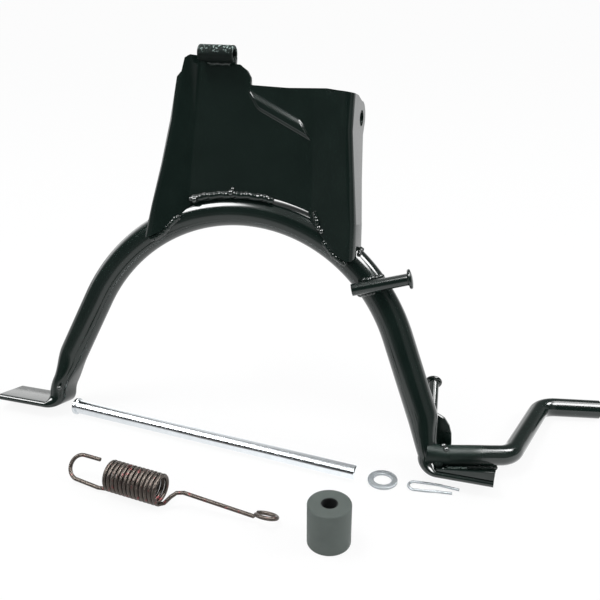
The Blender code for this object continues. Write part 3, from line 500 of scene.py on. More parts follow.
def chipped_and_glinting_enamel(name, height):
    """The same enamel where bolts and brackets have rubbed it: dull, with small pale speckles above the
    given height, partly chips that show pale primer and a trace of green, partly painted highlight on the lit
    top."""
    finish, tree, shader = new_finish(name)
    place = add(tree, "ShaderNodeTexCoord").outputs["Object"]
    # Clouds about 3 mm across, and pale speckles about 2 mm apart, partly chips and partly painted highlight
    cloud = add(tree, "ShaderNodeTexNoise", {"Vector": place, "Scale": 300.0, "Detail": 4.0}).outputs["Fac"]
    spots = add(tree, "ShaderNodeTexNoise", {"Vector": place, "Scale": 520.0, "Detail": 3.0}).outputs["Fac"]
    tone = add(tree, "ShaderNodeMix", {"Factor": cloud, 6: srgb("080e0c"), 7: srgb("0e1916")},
               data_type="RGBA")
    # Pale speckles only above the height: partly chipped paint, partly painted highlight where the top of the
    # tube catches the light
    chip_and_glint = add(tree, "ShaderNodeMapRange", {"Value": spots, 1: 0.56, 2: 0.63, 3: 0.0, 4: 0.85})
    upward = add(tree, "ShaderNodeSeparateXYZ", {0: place}).outputs["Z"]
    lit_top = add(tree, "ShaderNodeMapRange", {"Value": upward, 1: height, 2: height + 0.004, 3: 0.0, 4: 1.0})
    chip_and_glint = add(tree, "ShaderNodeMath", {0: chip_and_glint.outputs[0], 1: lit_top.outputs[0]}, operation="MULTIPLY")
    pale = add(tree, "ShaderNodeMix", {"Factor": chip_and_glint.outputs[0], 6: tone.outputs[2], 7: srgb("a9bcb6")},
               data_type="RGBA")
    tree.links.new(pale.outputs[2], shader.inputs["Base Color"])
    gloss = add(tree, "ShaderNodeMapRange", {"Value": cloud, 1: 0.3, 2: 0.7, 3: 0.55, 4: 0.75})
    tree.links.new(gloss.outputs[0], shader.inputs["Roughness"])
    bump = add(tree, "ShaderNodeBump", {"Height": spots, "Strength": 0.5, "Distance": 0.0003})
    tree.links.new(bump.outputs["Normal"], shader.inputs["Normal"])
    shader.inputs["IOR"].default_value = 1.5
    shader.inputs["Specular IOR Level"].default_value = 0.15
    return finish


def zinc_plate(name, dark, pale, sheen, turn, along):
    """Zinc on turned or stamped steel: pale, slightly blue, with fine lines of the tool under the
    plating and soft cloudy patches in the shine. A higher sheen value gives a duller plate."""
    finish, tree, shader = new_finish(name)
    shader.inputs["Metallic"].default_value = 1.0
    place = add(tree, "ShaderNodeTexCoord").outputs["Object"]
    lined = add(tree, "ShaderNodeMapping", {"Vector": place, "Rotation": (0, 0, turn), "Scale": along})
    lines = add(tree, "ShaderNodeTexNoise",
                {"Vector": lined.outputs[0], "Scale": 1.0, "Detail": 2.0}).outputs["Fac"]
    # Clouds about 6 mm across
    cloud = add(tree, "ShaderNodeTexNoise", {"Vector": place, "Scale": 160.0, "Detail": 4.0}).outputs["Fac"]
    tone = add(tree, "ShaderNodeMix", {"Factor": cloud, 6: srgb(dark), 7: srgb(pale)}, data_type="RGBA")
    tree.links.new(tone.outputs[2], shader.inputs["Base Color"])
    gloss = add(tree, "ShaderNodeMapRange", {"Value": cloud, 1: 0.3, 2: 0.7, 3: sheen, 4: sheen + 0.03})
    tree.links.new(gloss.outputs[0], shader.inputs["Roughness"])
    bump = add(tree, "ShaderNodeBump", {"Height": lines, "Strength": 0.06, "Distance": 0.00004})
    tree.links.new(bump.outputs["Normal"], shader.inputs["Normal"])
    return finish


def oiled_wire(name):
    """Cold drawn spring wire, oiled: brown grey with a dull, cloudy shine, and small rusty red
    flecks where the oil has worn off."""
    finish, tree, shader = new_finish(name)
    shader.inputs["Metallic"].default_value = 0.85
    place = add(tree, "ShaderNodeTexCoord").outputs["Object"]
    # Clouds and flecks about 4 mm across
    cloud = add(tree, "ShaderNodeTexNoise", {"Vector": place, "Scale": 260.0, "Detail": 4.0}).outputs["Fac"]
    spots = add(tree, "ShaderNodeTexNoise", {"Vector": place, "Scale": 230.0, "Detail": 3.0}).outputs["Fac"]
    tone = add(tree, "ShaderNodeMix", {"Factor": cloud, 6: srgb("37322f"), 7: srgb("5e5751")},
               data_type="RGBA")
    fleck = add(tree, "ShaderNodeMapRange", {"Value": spots, 1: 0.60, 2: 0.68, 3: 0.0, 4: 0.62})
    rusty = add(tree, "ShaderNodeMix", {"Factor": fleck.outputs[0], 6: tone.outputs[2], 7: srgb("7c3338")},
                data_type="RGBA")
    tree.links.new(rusty.outputs[2], shader.inputs["Base Color"])
    gloss = add(tree, "ShaderNodeMapRange", {"Value": cloud, 1: 0.3, 2: 0.7, 3: 0.40, 4: 0.56})
    tree.links.new(gloss.outputs[0], shader.inputs["Roughness"])
    bump = add(tree, "ShaderNodeBump", {"Height": spots, "Strength": 0.25, "Distance": 0.00006})
    tree.links.new(bump.outputs["Normal"], shader.inputs["Normal"])
    return finish


def moulded_rubber(name, axis):
    """Moulded grey-black rubber: matt, a little bloomed, with the fine grain of its mould. The bore
    about the given axis is painted nearly black as shade in the hole."""
    finish, tree, shader = new_finish(name)
    place = add(tree, "ShaderNodeTexCoord").outputs["Object"]
    # Bloom in patches of about 11 mm, and grain of about 0.6 mm
    cloud = add(tree, "ShaderNodeTexNoise", {"Vector": place, "Scale": 90.0, "Detail": 5.0}).outputs["Fac"]
    grain = add(tree, "ShaderNodeTexNoise", {"Vector": place, "Scale": 1600.0, "Detail": 2.0}).outputs["Fac"]
    tone = add(tree, "ShaderNodeMix", {"Factor": cloud, 6: srgb("4a504d"), 7: srgb("5c635f")},
               data_type="RGBA")
    # Painted shade: the bore is darkened to nearly black, as the inside of the hole lies in shadow
    off = add(tree, "ShaderNodeVectorMath", {0: place, 1: (axis.x, axis.y, 0.0)}, operation="SUBTRACT")
    flat = add(tree, "ShaderNodeVectorMath", {0: off.outputs[0], 1: (1.0, 1.0, 0.0)}, operation="MULTIPLY")
    away = add(tree, "ShaderNodeVectorMath", {0: flat.outputs[0]}, operation="LENGTH").outputs["Value"]
    bore_shade = add(tree, "ShaderNodeMapRange",
                {"Value": away, 1: RUBBER_BORE + 0.0002, 2: RUBBER_BORE + 0.0010, 3: 0.0, 4: 1.0})
    tone = add(tree, "ShaderNodeMix", {"Factor": bore_shade.outputs[0], 6: srgb("0d0f0f"), 7: tone.outputs[2]},
               data_type="RGBA")
    tree.links.new(tone.outputs[2], shader.inputs["Base Color"])
    bump = add(tree, "ShaderNodeBump", {"Height": grain, "Strength": 0.5, "Distance": 0.00012})
    tree.links.new(bump.outputs["Normal"], shader.inputs["Normal"])
    gloss = add(tree, "ShaderNodeMapRange", {"Value": cloud, 1: 0.3, 2: 0.7, 3: 0.66, 4: 0.80})
    tree.links.new(gloss.outputs[0], shader.inputs["Roughness"])
    shader.inputs["Specular IOR Level"].default_value = 0.25
    return finish


enamel = stoved_enamel("black_stoved_enamel")
drop_enamel = stoved_enamel("black_stoved_enamel_on_drops", None, 1.0)
lever_enamel = stoved_enamel("black_stoved_enamel_over_weld", TABLE.x + HEEL + 0.047)
# The stop tube's pale speckles start just above its axis: partly chips, partly painted highlight on its lit
# top
stop_axis_height = (STAND @ Vector((0, STOP_SETBACK, STOP_HEIGHT))).z
worn_and_glinting_enamel = chipped_and_glinting_enamel("chipped_and_glinting_black_enamel", stop_axis_height + 0.001)
# Tool lines 17 mm long and 0.5 mm apart on the pin, and an even grain of 2 mm on the stamped pieces
pin_zinc = zinc_plate("bright_zinc_turned", "c8cdd1", "dee2e5", 0.20, -PIN_TURN, (60.0, 2200.0, 2200.0))
flat_zinc = zinc_plate("dull_zinc_stamped", "8d9295", "a3a8ab", 0.50, 0.0, (500.0, 500.0, 500.0))
wire = oiled_wire("oiled_drawn_wire")
rubber = moulded_rubber("moulded_grey_rubber", TABLE + Vector((*RUBBER_PLACE, 0)))

# Stand

finished("bow_tube", bow(), enamel, ("main_tube",), STAND)

sheet_metal("pivot_bracket", "bracket", enamel, 0.00045, press_web)
sheet_metal("toe_wedge", "lever_toe_plate", enamel, 0.0004)
sheet_metal("bumper_gusset", "bumper_bracket", enamel, 0.0004)


def web_rib():
    """The pressed rib across the web: a soft ridge with slanting ends, its upper flank broader than
    the lower one."""
    place = Matrix.Translation((RIB_PLACE[0], WEB_FRONT, CREST + RIB_PLACE[1]))
    place = place @ Matrix.Rotation(RIB_SLOPE, 4, "Y") @ Matrix.Rotation(pi / 2, 4, "Y")
    bm = bmesh.new()
    rings = []
    for index in range(81):
        reach = -1.0 + index / 40

        def section(co):
            across = max(-1.0, min(1.0, co.x))
            ends = eased((1.0 - abs(reach)) / (0.11 if reach > 0 else 0.22))
            crown = min(eased((across + 1.0) / 0.85), eased((1.0 - across) / 0.60))
            high = -RIB_HEIGHT * ends * crown if co.y < 0 else 0.0004
            return Vector((RIB_SPREAD * across, high, RIB_REACH * reach + RIB_END_SLANT * across))

        rings.append(ring(bm, place, 96, section))
    skin(bm, rings)
    return bm


def stop_tube():
    """The tube across the ear, its ends cut square with broken edges."""
    outer, inner, edge, length = STOP_TUBE_RADIUS, STOP_TUBE_BORE, STOP_TUBE_EDGE, STOP_TUBE_LENGTH
    profile = [(inner, edge / 2), *corner_arc(inner + edge / 2, edge / 2, edge / 2, pi, 1.5 * pi, 3),
               *corner_arc(outer - edge, edge, edge, -pi / 2, 0.0),
               *corner_arc(outer - edge, length - edge, edge, 0.0, pi / 2),
               *corner_arc(inner + edge / 2, length - edge / 2, edge / 2, pi / 2, pi, 3)]
    bm = lathe(profile)
    place = towards((STOP_TUBE_LEFT, STOP_SETBACK, STOP_HEIGHT),
                    (STOP_TUBE_LEFT + STOP_TUBE_LENGTH, STOP_SETBACK, STOP_HEIGHT))
    bmesh.ops.transform(bm, verts=bm.verts, matrix=place)
    return bm


finished("web_rib", web_rib(), enamel, (), STAND, 60.0)
finished("ear_tube", stop_tube(), worn_and_glinting_enamel, ("stop_tube",), STAND)

# Spring peg and bumper peg
peg_reach = ARCH_RADIUS - SPRING_PEG_INSET
peg_root = Vector((peg_reach * cos(SPRING_PEG_BEARING), -TUBE_RADIUS - SPRING_PEG_STANDOFF,
                   ARCH_CENTRE_HEIGHT + peg_reach * sin(SPRING_PEG_BEARING)))
peg_tip = peg_root + SPRING_PEG_RUN
finished("spring_post", headed_peg(peg_root, peg_tip, *SPRING_PEG), enamel,
         ("spring_peg",), STAND)
bumper_root = Vector((HEEL - 0.0042, 0.0060, 0.0460))
bumper_tip = Vector((HEEL - 0.0080, 0.0310, 0.0638))
finished("bumper_post", headed_peg(bumper_root, bumper_tip, *BUMPER_PEG), enamel,
         ("bumper_peg",), STAND)

# Kick lever
lever_height = FOOT_THICKNESS + LEVER_LIFT + CLEAR + LEVER_RADIUS
lever_start = Vector((HEEL + 0.0110, -0.0070, lever_height))
lever_first = Vector((HEEL + 0.0612, 0.0207, lever_height))
lever_second = from_floor(HEEL + 0.0826, 0.1195, 0.0093)
lever_tip = from_floor(HEEL + 0.1335, 0.1316, LEVER_RADIUS)


def kick_lever():
    """The bar with its two bends and chamfered ends."""
    path = filleted((lever_start, lever_first, lever_second, lever_tip), LEVER_BEND_RADIUS)
    path = evenly(path, 0.0040)
    tip_way = (path[-1] - path[-2]).normalized()
    start_way = (path[0] - path[1]).normalized()
    path = [path[0], path[0] - start_way * LEVER_CHAMFER] + path[1:-1]
    path += [lever_tip - tip_way * LEVER_CHAMFER, lever_tip]
    radii = [LEVER_RADIUS] * len(path)
    radii[0] = radii[-1] = LEVER_RADIUS - LEVER_CHAMFER
    return sweep(path, radii, 48)


finished("kick_bar", kick_lever(), lever_enamel, ("kick_lever",), STAND)

# Welds

# Lower edges of the bracket's two bands: place across, distance outside the arch's centre line
LIP_LEFT = ((-0.0825, -0.0032), (-0.0790, -0.0041), (-0.0720, -0.0044), (-0.0675, -0.0023),
            (-0.0625, 0.0012), (-0.0560, 0.0034))
LIP_RIGHT = ((0.0700, 0.0019), (0.0756, -0.0005), (0.0800, -0.0016), (0.0860, -0.0014),
             (0.0920, 0.0004))
BEAD_BELOW_LIP = 0.0016

# Drops of spatter beside the beads, and the lumps where a bead was started: place and radius
DROPS = (((-0.1622, -0.0176, 0.0206), 0.0021), ((0.1822, -0.0088, 0.0240), 0.0022),
         ((0.1850, -0.0116, 0.0224), 0.0023), ((0.2097, -0.0165, 0.0076), 0.0020),
         ((-0.0440, -0.0122, 0.2000), 0.0027), ((-0.0472, -0.0120, 0.2006), 0.0022),
         ((-0.0119, -0.0128, 0.2086), 0.0025), ((-0.0110, -0.0108, 0.2114), 0.0018),
         ((0.0655, -0.0126, 0.1868), 0.0023), ((0.0683, -0.0136, 0.1844), 0.0021))


def under_lip(lip, fold, corner):
    """A path in the groove between a band's lower edge and the tube."""
    places = []
    for x, outside in lip:
        band = WEB_SETBACK + (CORNER_SETBACK - WEB_SETBACK) * (x - fold) / (corner - fold)
        below = outside - BEAD_BELOW_LIP
        front = -sqrt(TUBE_RADIUS ** 2 - below ** 2)
        places.append(Vector((x, (band + front) / 2, arch_height(x, ARCH_RADIUS + below))))
    return places


def over_tube(x):
    """A path over the top of the tube, beside a flange."""
    places = []
    for setback in (-0.0095, -0.0055, -0.0010, 0.0035):
        radius = ARCH_RADIUS + sqrt(TUBE_RADIUS ** 2 - setback ** 2) + 0.0004
        places.append(Vector((x, setback, arch_height(x, radius))))
    return places


def beside_peg(side):
    """A path along the spring peg on the tube, above it for side 1 and below it for side -1."""
    across = Vector((peg_root.z - peg_tip.z, 0, peg_tip.x - peg_root.x)).normalized()
    places = []
    for share in (0.10, 0.22, 0.34, 0.46):
        place = peg_root.lerp(peg_tip, share + 0.08 * side) + across * side * 0.0054
        off = (Vector((place.x, place.z)) - ARCH_CENTRE).length - ARCH_RADIUS
        front = -sqrt(max(TUBE_RADIUS ** 2 - off ** 2, 0.00001)) - 0.0004
        places.append(Vector((place.x, front, place.z)))
    return places


def at_height(path, height):
    """The same path, all at one height over the sole."""
    return [Vector((place.x, place.y, height)) for place in path]


def weld(name, path, radius, node, pitch, seed, finish=enamel):
    """Makes a weld run along the path, in place of the node's plain bead."""
    return finished(name, bead(path, radius, pitch, seed), finish, (node,), STAND, 60.0)


web_radius = ARCH_RADIUS + TUBE_RADIUS + 0.0006
web_start, web_end = acos(-0.0480 / web_radius), acos(0.0250 / web_radius)
web_path = []
for index in range(25):
    angle = web_start + (web_end - web_start) * index / 24
    web_path.append(Vector((web_radius * cos(angle), WEB_FRONT + 0.0008,
                            ARCH_CENTRE_HEIGHT + web_radius * sin(angle))))
weld("web_run", web_path, 0.0032, "weld_web", 0.0022, 0.4)
weld("left_lip_run", under_lip(LIP_LEFT, -0.0500, -0.0865), 0.0028, "weld_lip_left", 0.0018, 1.0)
weld("right_lip_run", under_lip(LIP_RIGHT, 0.0620, 0.0972), 0.0028, "weld_lip_right", 0.0018, 2.0)
fold_path = [(0.0600, -0.0114, CREST + 0.0052), (0.0625, -0.0120, CREST + 0.0002),
             (0.0645, -0.0132, CREST - 0.0058)]
weld("fold_run", fold_path, 0.0022, "weld_fold_right", 0.0014, 3.0)
weld("left_flange_run", over_tube(-0.0857), 0.0017, "weld_flange_left", 0.0014, 4.0)
weld("right_flange_run", over_tube(0.0993), 0.0017, "weld_flange_right", 0.0014, 5.0)
seam_height = STOP_HEIGHT - 0.93 * STOP_TUBE_RADIUS
seam_path = [(-0.0402, WEB_FRONT - 0.0012, seam_height), (-0.0192, WEB_FRONT - 0.0012, seam_height)]
weld("ear_tube_run", seam_path, 0.0022, "weld_stop_tube", 0.0014, 6.0)
weld("upper_post_run", beside_peg(1), 0.0022, "weld_spring_peg_upper", 0.0014, 7.0)
weld("lower_post_run", beside_peg(-1), 0.0022, "weld_spring_peg_lower", 0.0014, 8.0)

# Round the lever's end, in front of and below the lever, in the heel, and the mass at its root
along = (lever_first - lever_start).normalized()
rear = Vector((-along.y, along.x, 0))
foot_top = FOOT_THICKNESS + 0.0018
lever_run = [lever_start + along * 0.032 + rear * 0.0071, lever_start + along * 0.002 + rear * 0.0071,
             lever_start - along * 0.0012 + rear * 0.0028, lever_start - along * 0.0012 - rear * 0.0021]
weld("lever_run", at_height(lever_run, foot_top), 0.0022, "weld_lever", 0.0014, 9.0)
front_side = [lever_start + along * reach - rear * 0.0062 for reach in (0.000, 0.010, 0.018)]
weld("lever_front_run", at_height(front_side, foot_top - 0.0004), 0.0020, "weld_lever", 0.0017, 12.0,
     lever_enamel)
bed = [lever_start + along * reach - rear * 0.0020 for reach in (0.0, 0.046)]
weld("lever_bed", at_height(bed, FOOT_THICKNESS + 0.0012), 0.0021, "weld_lever", 0.0017, 13.0)
heel_path = [Vector((HEEL + 0.0066, reach, 0.0106)) for reach in (-0.0152, -0.0030)]
weld("heel_corner_run", heel_path, 0.0044, "weld_lever", 0.0030, 14.0, lever_enamel)
root_path = evenly([Vector((HEEL - 0.0040, -0.0100, lever_height + 0.0006)), lever_start,
                    lever_start + along * 0.0080], 0.0008)
finished("lever_root", sweep(root_path, LEVER_RADIUS - 0.0002, 40), lever_enamel,
         ("weld_lever",), STAND, 60.0)

bm = bmesh.new()
for place, radius in DROPS:
    bmesh.ops.create_icosphere(bm, subdivisions=3, radius=radius, matrix=Matrix.Translation(place))
finished("weld_drops", bm, drop_enamel, (), STAND, 60.0)

bead_height = FOOT_THICKNESS + 0.0012
toe_rear = -FOOT_DEPTH / 2 + 0.0036
toe_path = [(HEEL + 0.0100, toe_rear, bead_height), (HEEL + 0.0172, toe_rear, bead_height)]
weld("toe_run", toe_path, 0.0018, "weld_toe_plate", 0.0013, 10.0)
gusset_rear = HEEL_DEPTH / 2 - 0.0073 + 0.0028
gusset_path = [Vector((HEEL + 0.0117, gusset_rear, bead_height)),
               Vector((HEEL + 0.0048, gusset_rear, bead_height)),
               Vector((leg_point(0.018).x + 0.0080, gusset_rear, 0.018)),
               Vector((leg_point(0.032).x + 0.0098, gusset_rear, 0.032))]
weld("gusset_run", gusset_path, 0.0022, "weld_bumper_bracket", 0.0014, 11.0)


# Fittings on the table

def pivot_pin():
    """A turned pin with a small flat head and broken edges."""
    radius, head, edge = PIN_RADIUS, PIN_HEAD_RADIUS, 0.0008
    profile = [(0.0, 0.0), (head - edge, 0.0), *corner_arc(head - edge, edge, edge, -pi / 2, 0.0),
               (head, 0.0026), (head - 0.0004, 0.0030), (radius + 0.0003, 0.0030), (radius, 0.0033),
               (radius, PIN_LENGTH - edge), (radius - edge, PIN_LENGTH), (0.0, PIN_LENGTH)]
    return lathe(profile, 72)


def washer():
    """A stamped washer: sharp below, rounded above."""
    outer, inner, thick, edge = WASHER_RADIUS, WASHER_HOLE, WASHER_THICKNESS, 0.0005
    burr = 0.0002
    profile = [*corner_arc(inner + burr, burr, burr, pi, 1.5 * pi, 2),
               *corner_arc(outer - burr, burr, burr, -pi / 2, 0, 2),
               *corner_arc(outer - edge, thick - edge, edge, 0.0, pi / 2, 5),
               *corner_arc(inner + edge, thick - edge, edge, pi / 2, pi, 4)]
    return lathe(profile, 96)


def split_pin():
    """One wire bent round an eye, with two legs of unlike length."""
    eye = [(COTTER_EYE * cos(a), COTTER_EYE * sin(a), 0)
           for a in [radians(80 + 210 * index / 20) for index in range(21)]]
    path = [(0.0343, 0.0048, 0), (0.0185, 0.0063, 0), (0.0094, 0.0060, 0), *eye,
            (0.0090, -0.0044, 0), (0.0173, -0.0026, 0), (0.0295, -0.0014, 0)]
    return sweep(evenly(path, 0.0012), COTTER_WIRE, 16)


def return_spring():
    """One wire: the tilted hook on the left, close coils, a long arm and the tilted eye."""
    coil = (SPRING_DIAMETER - SPRING_WIRE) / 2
    pitch = SPRING_WIRE + SPRING_COIL_GAP
    across = Vector((1, 0, 0))
    up = Vector((0, sin(HOOK_TILT), cos(HOOK_TILT)))
    hook_centre = Vector((-0.0276, 0.0010, 0.0004)) - 0.0015 * up
    path = [hook_centre + HOOK_RADIUS * up + reach * across for reach in (0.0152, 0.0100, 0.0048, 0.0018)]
    path += [hook_centre + HOOK_RADIUS * (cos(a) * across + sin(a) * up)
             for a in [radians(90 + 10 * index) for index in range(18)]]
    path.append(Vector((-0.0065, 0, 0)) - 1.07 * coil * up)
    start = atan2(-cos(HOOK_TILT), -sin(HOOK_TILT))
    per_turn = 28
    for index in range(SPRING_TURNS * per_turn + 1):
        turn = start + 2 * pi * index / per_turn
        path.append(Vector((pitch * index / per_turn, coil * cos(turn), coil * sin(turn))))
    body = SPRING_TURNS * pitch
    eye_height = SPRING_WIRE / 2 + EYE_RADIUS * sin(EYE_TILT) - SPRING_DIAMETER / 2
    path += [Vector((body + 0.0045, -coil * 0.46, -coil * 0.66)),
             Vector((body + 0.0080, -0.0010, -0.0032)), Vector((body + 0.0115, 0.0022, -0.0006)),
             Vector((0.0656, 0.0040, 0)), Vector((0.1230, 0.0087, eye_height))]
    side = Vector((0, cos(EYE_TILT), -sin(EYE_TILT)))
    eye_centre = Vector((0.1314, 0.0130, eye_height))
    path += [eye_centre + EYE_RADIUS * (cos(a) * across + sin(a) * side)
             for a in [radians(215 + 12 * index) for index in range(27)]]
    return sweep(path, SPRING_WIRE / 2, 14)


def stop_rubber():
    """A moulded cylinder with a bore and soft edges."""
    outer, inner, tall, edge = RUBBER_RADIUS, RUBBER_BORE, RUBBER_HEIGHT, 0.0012
    profile = [*corner_arc(inner + 0.0006, 0.0006, 0.0006, pi, 1.5 * pi, 3),
               *corner_arc(outer - edge, edge, edge, -pi / 2, 0.0),
               *corner_arc(outer - edge, tall - edge, edge, 0.0, pi / 2, 6),
               *corner_arc(inner + 0.0008, tall - 0.0008, 0.0008, pi / 2, pi, 4)]
    return lathe(profile, 96)


pin_place = towards((*PIN_LEFT_END, PIN_HEAD_RADIUS), (*PIN_END, PIN_RADIUS))
finished("long_pin", pivot_pin(), pin_zinc, ("pivot_pin",), ON_TABLE @ pin_place)
finished("flat_washer", washer(), flat_zinc, ("pivot_washer",),
         ON_TABLE @ Matrix.Translation((*WASHER_PLACE, 0)))
finished("cotter", split_pin(), flat_zinc, ("split_pin",),
         ON_TABLE @ Matrix.Translation((*COTTER_PLACE, COTTER_WIRE)))
spring_place = (Matrix.Translation((*SPRING_LEFT, SPRING_DIAMETER / 2))
                @ Matrix.Rotation(SPRING_TURN, 4, "Z"))
finished("coil_spring", return_spring(), wire, ("return_spring",),
         ON_TABLE @ spring_place, 60.0)
finished("rubber_stop", stop_rubber(), rubber, ("stop_rubber",),
         ON_TABLE @ Matrix.Translation((*RUBBER_PLACE, 0)))


# Table, room, lamps and camera

def white_paper():
    """Matt white paper that keeps the shadows. In the gloss of the enamel it is brighter on the
    right, and it ends a little way in front."""
    paper = bpy.data.materials.new("white_paper")
    paper.use_nodes = True
    tree = paper.node_tree
    tree.nodes.clear()
    rays = add(tree, "ShaderNodeLightPath")
    matt = add(tree, "ShaderNodeBsdfDiffuse", {"Color": srgb("f6f6f5")})
    spot = add(tree, "ShaderNodeSeparateXYZ", {0: add(tree, "ShaderNodeTexCoord").outputs["Object"]})
    right = add(tree, "ShaderNodeMapRange", {"Value": spot.outputs["X"], 1: -0.30, 2: 0.30, 3: 0.9, 4: 1.9})
    front = add(tree, "ShaderNodeMapRange",
                {"Value": spot.outputs["Y"], 1: -0.75, 2: -0.35, 3: 0.15, 4: 1.0},
                interpolation_type="SMOOTHSTEP")
    back = add(tree, "ShaderNodeMapRange", {"Value": spot.outputs["Y"], 1: 0.0, 2: 0.25, 3: 1.0, 4: 0.60})
    sheen = add(tree, "ShaderNodeMath", {0: right.outputs[0], 1: front.outputs[0]}, operation="MULTIPLY")
    sheen = add(tree, "ShaderNodeMath", {0: sheen.outputs[0], 1: back.outputs[0]}, operation="MULTIPLY")
    power = add(tree, "ShaderNodeMix", {"Factor": rays.outputs["Is Glossy Ray"], 2: 1.0, 3: sheen.outputs[0]})
    bright = add(tree, "ShaderNodeEmission", {"Color": (1, 1, 1, 1), "Strength": power.outputs[0]})
    seen = add(tree, "ShaderNodeMath",
               {0: rays.outputs["Is Camera Ray"], 1: rays.outputs["Is Glossy Ray"]}, operation="MAXIMUM")
    seen = add(tree, "ShaderNodeMath",
               {0: seen.outputs[0], 1: rays.outputs["Is Transmission Ray"]}, operation="MAXIMUM")
    share = add(tree, "ShaderNodeMath", {0: seen.outputs[0], 1: 0.90}, operation="MULTIPLY")
    mixed = add(tree, "ShaderNodeMixShader", {0: share.outputs[0], 1: matt.outputs[0], 2: bright.outputs[0]})
    add(tree, "ShaderNodeOutputMaterial", {"Surface": mixed.outputs[0]})
    return paper


bm = bmesh.new()
bmesh.ops.create_grid(bm, x_segments=1, y_segments=1, size=15.0,
                      matrix=Matrix.Translation((0, 0, cad_low.z - 0.0002)))
mesh = bpy.data.meshes.new("table_top")
bm.to_mesh(mesh)
bm.free()
table = bpy.data.objects.new("table_top", mesh)
bpy.context.scene.collection.objects.link(table)
mesh.materials.append(white_paper())

# A long soft box over the left shoulder, a square one over the right, and two small ones beside it:
# direction, cosines of its edge and of its full light, strength
BOXES = (((-0.54, -0.38, 0.75), 0.960, 0.992, 28.0), ((0.40, -0.08, 0.913), 0.962, 0.976, 24.0),
         ((0.57, 0.36, 0.74), 0.984, 0.992, 26.0), ((0.20, 0.33, 0.92), 0.975, 0.992, 9.0))


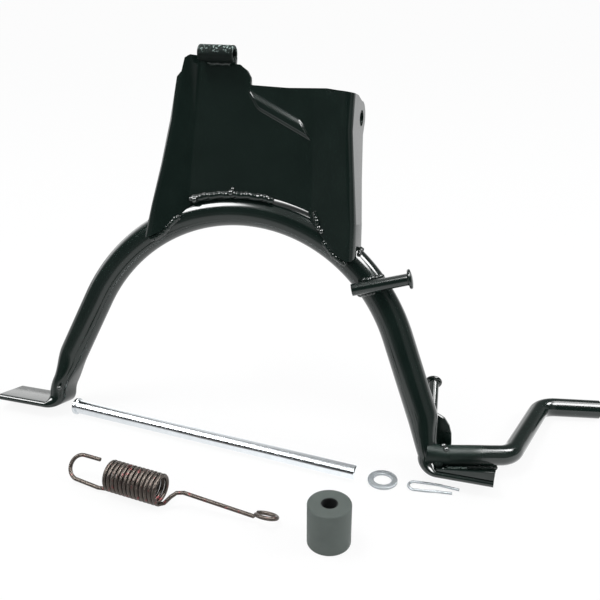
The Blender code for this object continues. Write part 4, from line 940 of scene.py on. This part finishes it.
def studio():
    """White all round for the eye and an even soft light on the pieces. The gloss mirrors a room:
    the wall behind is pale on the left and low down, the ceiling is dim, and the room in front is
    dark but for a pale wall far on the right."""
    world = bpy.data.worlds.new("studio")
    world.use_nodes = True
    tree = world.node_tree
    tree.nodes.clear()
    rays = add(tree, "ShaderNodeLightPath")
    heading = add(tree, "ShaderNodeTexCoord").outputs["Generated"]
    way = add(tree, "ShaderNodeSeparateXYZ", {0: heading})
    behind = add(tree, "ShaderNodeMapRange",
                 {"Value": way.outputs["Y"], 1: -0.10, 2: 0.40, 3: 0.05, 4: 1.0},
                 interpolation_type="SMOOTHSTEP")
    leftward = add(tree, "ShaderNodeMapRange",
                   {"Value": way.outputs["X"], 1: -0.45, 2: -0.02, 3: 2.3, 4: 0.35},
                   interpolation_type="SMOOTHSTEP")
    lower = add(tree, "ShaderNodeMapRange",
                {"Value": way.outputs["Z"], 1: 0.12, 2: 0.45, 3: 1.0, 4: 0.50},
                interpolation_type="SMOOTHSTEP")
    behind = add(tree, "ShaderNodeMath", {0: behind.outputs[0], 1: leftward.outputs[0]}, operation="MULTIPLY")
    behind = add(tree, "ShaderNodeMath", {0: behind.outputs[0], 1: lower.outputs[0]}, operation="MULTIPLY")
    low = add(tree, "ShaderNodeMapRange", {"Value": way.outputs["Z"], 1: -0.02, 2: 0.04, 3: 0.5, 4: 0.0})
    ceiling = add(tree, "ShaderNodeMapRange",
                  {"Value": way.outputs["Z"], 1: 0.60, 2: 0.80, 3: 0.0, 4: 0.55},
                  interpolation_type="SMOOTHSTEP")
    sideways = add(tree, "ShaderNodeMapRange",
                   {"Value": way.outputs["X"], 1: -0.42, 2: -0.15, 3: 2.0, 4: 1.0})
    ceiling = add(tree, "ShaderNodeMath", {0: ceiling.outputs[0], 1: sideways.outputs[0]},
                  operation="MULTIPLY")
    window = add(tree, "ShaderNodeMapRange",
                 {"Value": way.outputs["X"], 1: 0.55, 2: 0.75, 3: 0.0, 4: 0.35},
                 interpolation_type="SMOOTHSTEP")
    frontal = add(tree, "ShaderNodeMapRange",
                  {"Value": way.outputs["Y"], 1: -0.30, 2: 0.20, 3: 1.0, 4: 0.2})
    window = add(tree, "ShaderNodeMath", {0: window.outputs[0], 1: frontal.outputs[0]}, operation="MULTIPLY")
    room = add(tree, "ShaderNodeMath", {0: behind.outputs[0], 1: low.outputs[0]}, operation="MAXIMUM")
    room = add(tree, "ShaderNodeMath", {0: room.outputs[0], 1: window.outputs[0]}, operation="MAXIMUM")
    room = add(tree, "ShaderNodeMath", {0: room.outputs[0], 1: ceiling.outputs[0]}, operation="MAXIMUM")
    for aim_at, edge, full, power in BOXES:
        near = add(tree, "ShaderNodeVectorMath", {0: heading, 1: aim_at}, operation="DOT_PRODUCT")
        box = add(tree, "ShaderNodeMapRange",
                  {"Value": near.outputs["Value"], 1: edge, 2: full, 3: 0.0, 4: power},
                  interpolation_type="SMOOTHSTEP")
        room = add(tree, "ShaderNodeMath", {0: room.outputs[0], 1: box.outputs[0]}, operation="ADD")
    mirror = add(tree, "ShaderNodeBackground", {"Color": (1, 1, 1, 1), "Strength": room.outputs[0]})
    soft = add(tree, "ShaderNodeBackground", {"Color": srgb("fbfcff"), "Strength": 0.80})
    white = add(tree, "ShaderNodeBackground", {"Color": (1, 1, 1, 1), "Strength": 1.0})
    first = add(tree, "ShaderNodeMixShader",
                {0: rays.outputs["Is Glossy Ray"], 1: soft.outputs[0], 2: mirror.outputs[0]})
    direct = add(tree, "ShaderNodeMath",
                 {0: rays.outputs["Is Camera Ray"], 1: rays.outputs["Is Transmission Ray"]},
                 operation="MAXIMUM")
    second = add(tree, "ShaderNodeMixShader",
                 {0: direct.outputs[0], 1: first.outputs[0], 2: white.outputs[0]})
    add(tree, "ShaderNodeOutputWorld", {"Surface": second.outputs[0]})
    return world


bpy.context.scene.world = studio()


def lamp(name, place, target, size, size_y, power):
    """A soft box that faces its target."""
    light = bpy.data.lights.new(name, "AREA")
    light.shape = "RECTANGLE"
    light.size = size
    light.size_y = size_y
    light.energy = power
    shown = bpy.data.objects.new(name, light)
    bpy.context.scene.collection.objects.link(shown)
    shown.visible_glossy = False
    facing = (Vector(target) - Vector(place)).to_track_quat("-Z", "Y")
    shown.matrix_world = Matrix.Translation(place) @ facing.to_matrix().to_4x4()


lamp("softbox_over", (-0.5, -0.2, 1.6), (0, 0, 0.15), 0.5, 0.35, 9.0)
lamp("softbox_right", (1.3, 0.2, 1.1), (0, 0, 0.15), 0.4, 0.4, 6.0)

# The camera looks down from the front right
CAMERA_PLACE = Vector((0.23456, -0.55567, 0.39785))
CAMERA_DOWN = 23.83
CAMERA_TURN = 17.25
camera_data = bpy.data.cameras.new("camera")
camera_data.lens = 48.64
camera_data.sensor_width = 36.0
camera_data.clip_start = 0.01
camera = bpy.data.objects.new("camera", camera_data)
camera.location = TABLE + CAMERA_PLACE
camera.rotation_euler = (radians(90 - CAMERA_DOWN), 0, radians(CAMERA_TURN))
bpy.context.scene.collection.objects.link(camera)
bpy.context.scene.camera = camera
bpy.context.scene.view_settings.view_transform = "Standard"
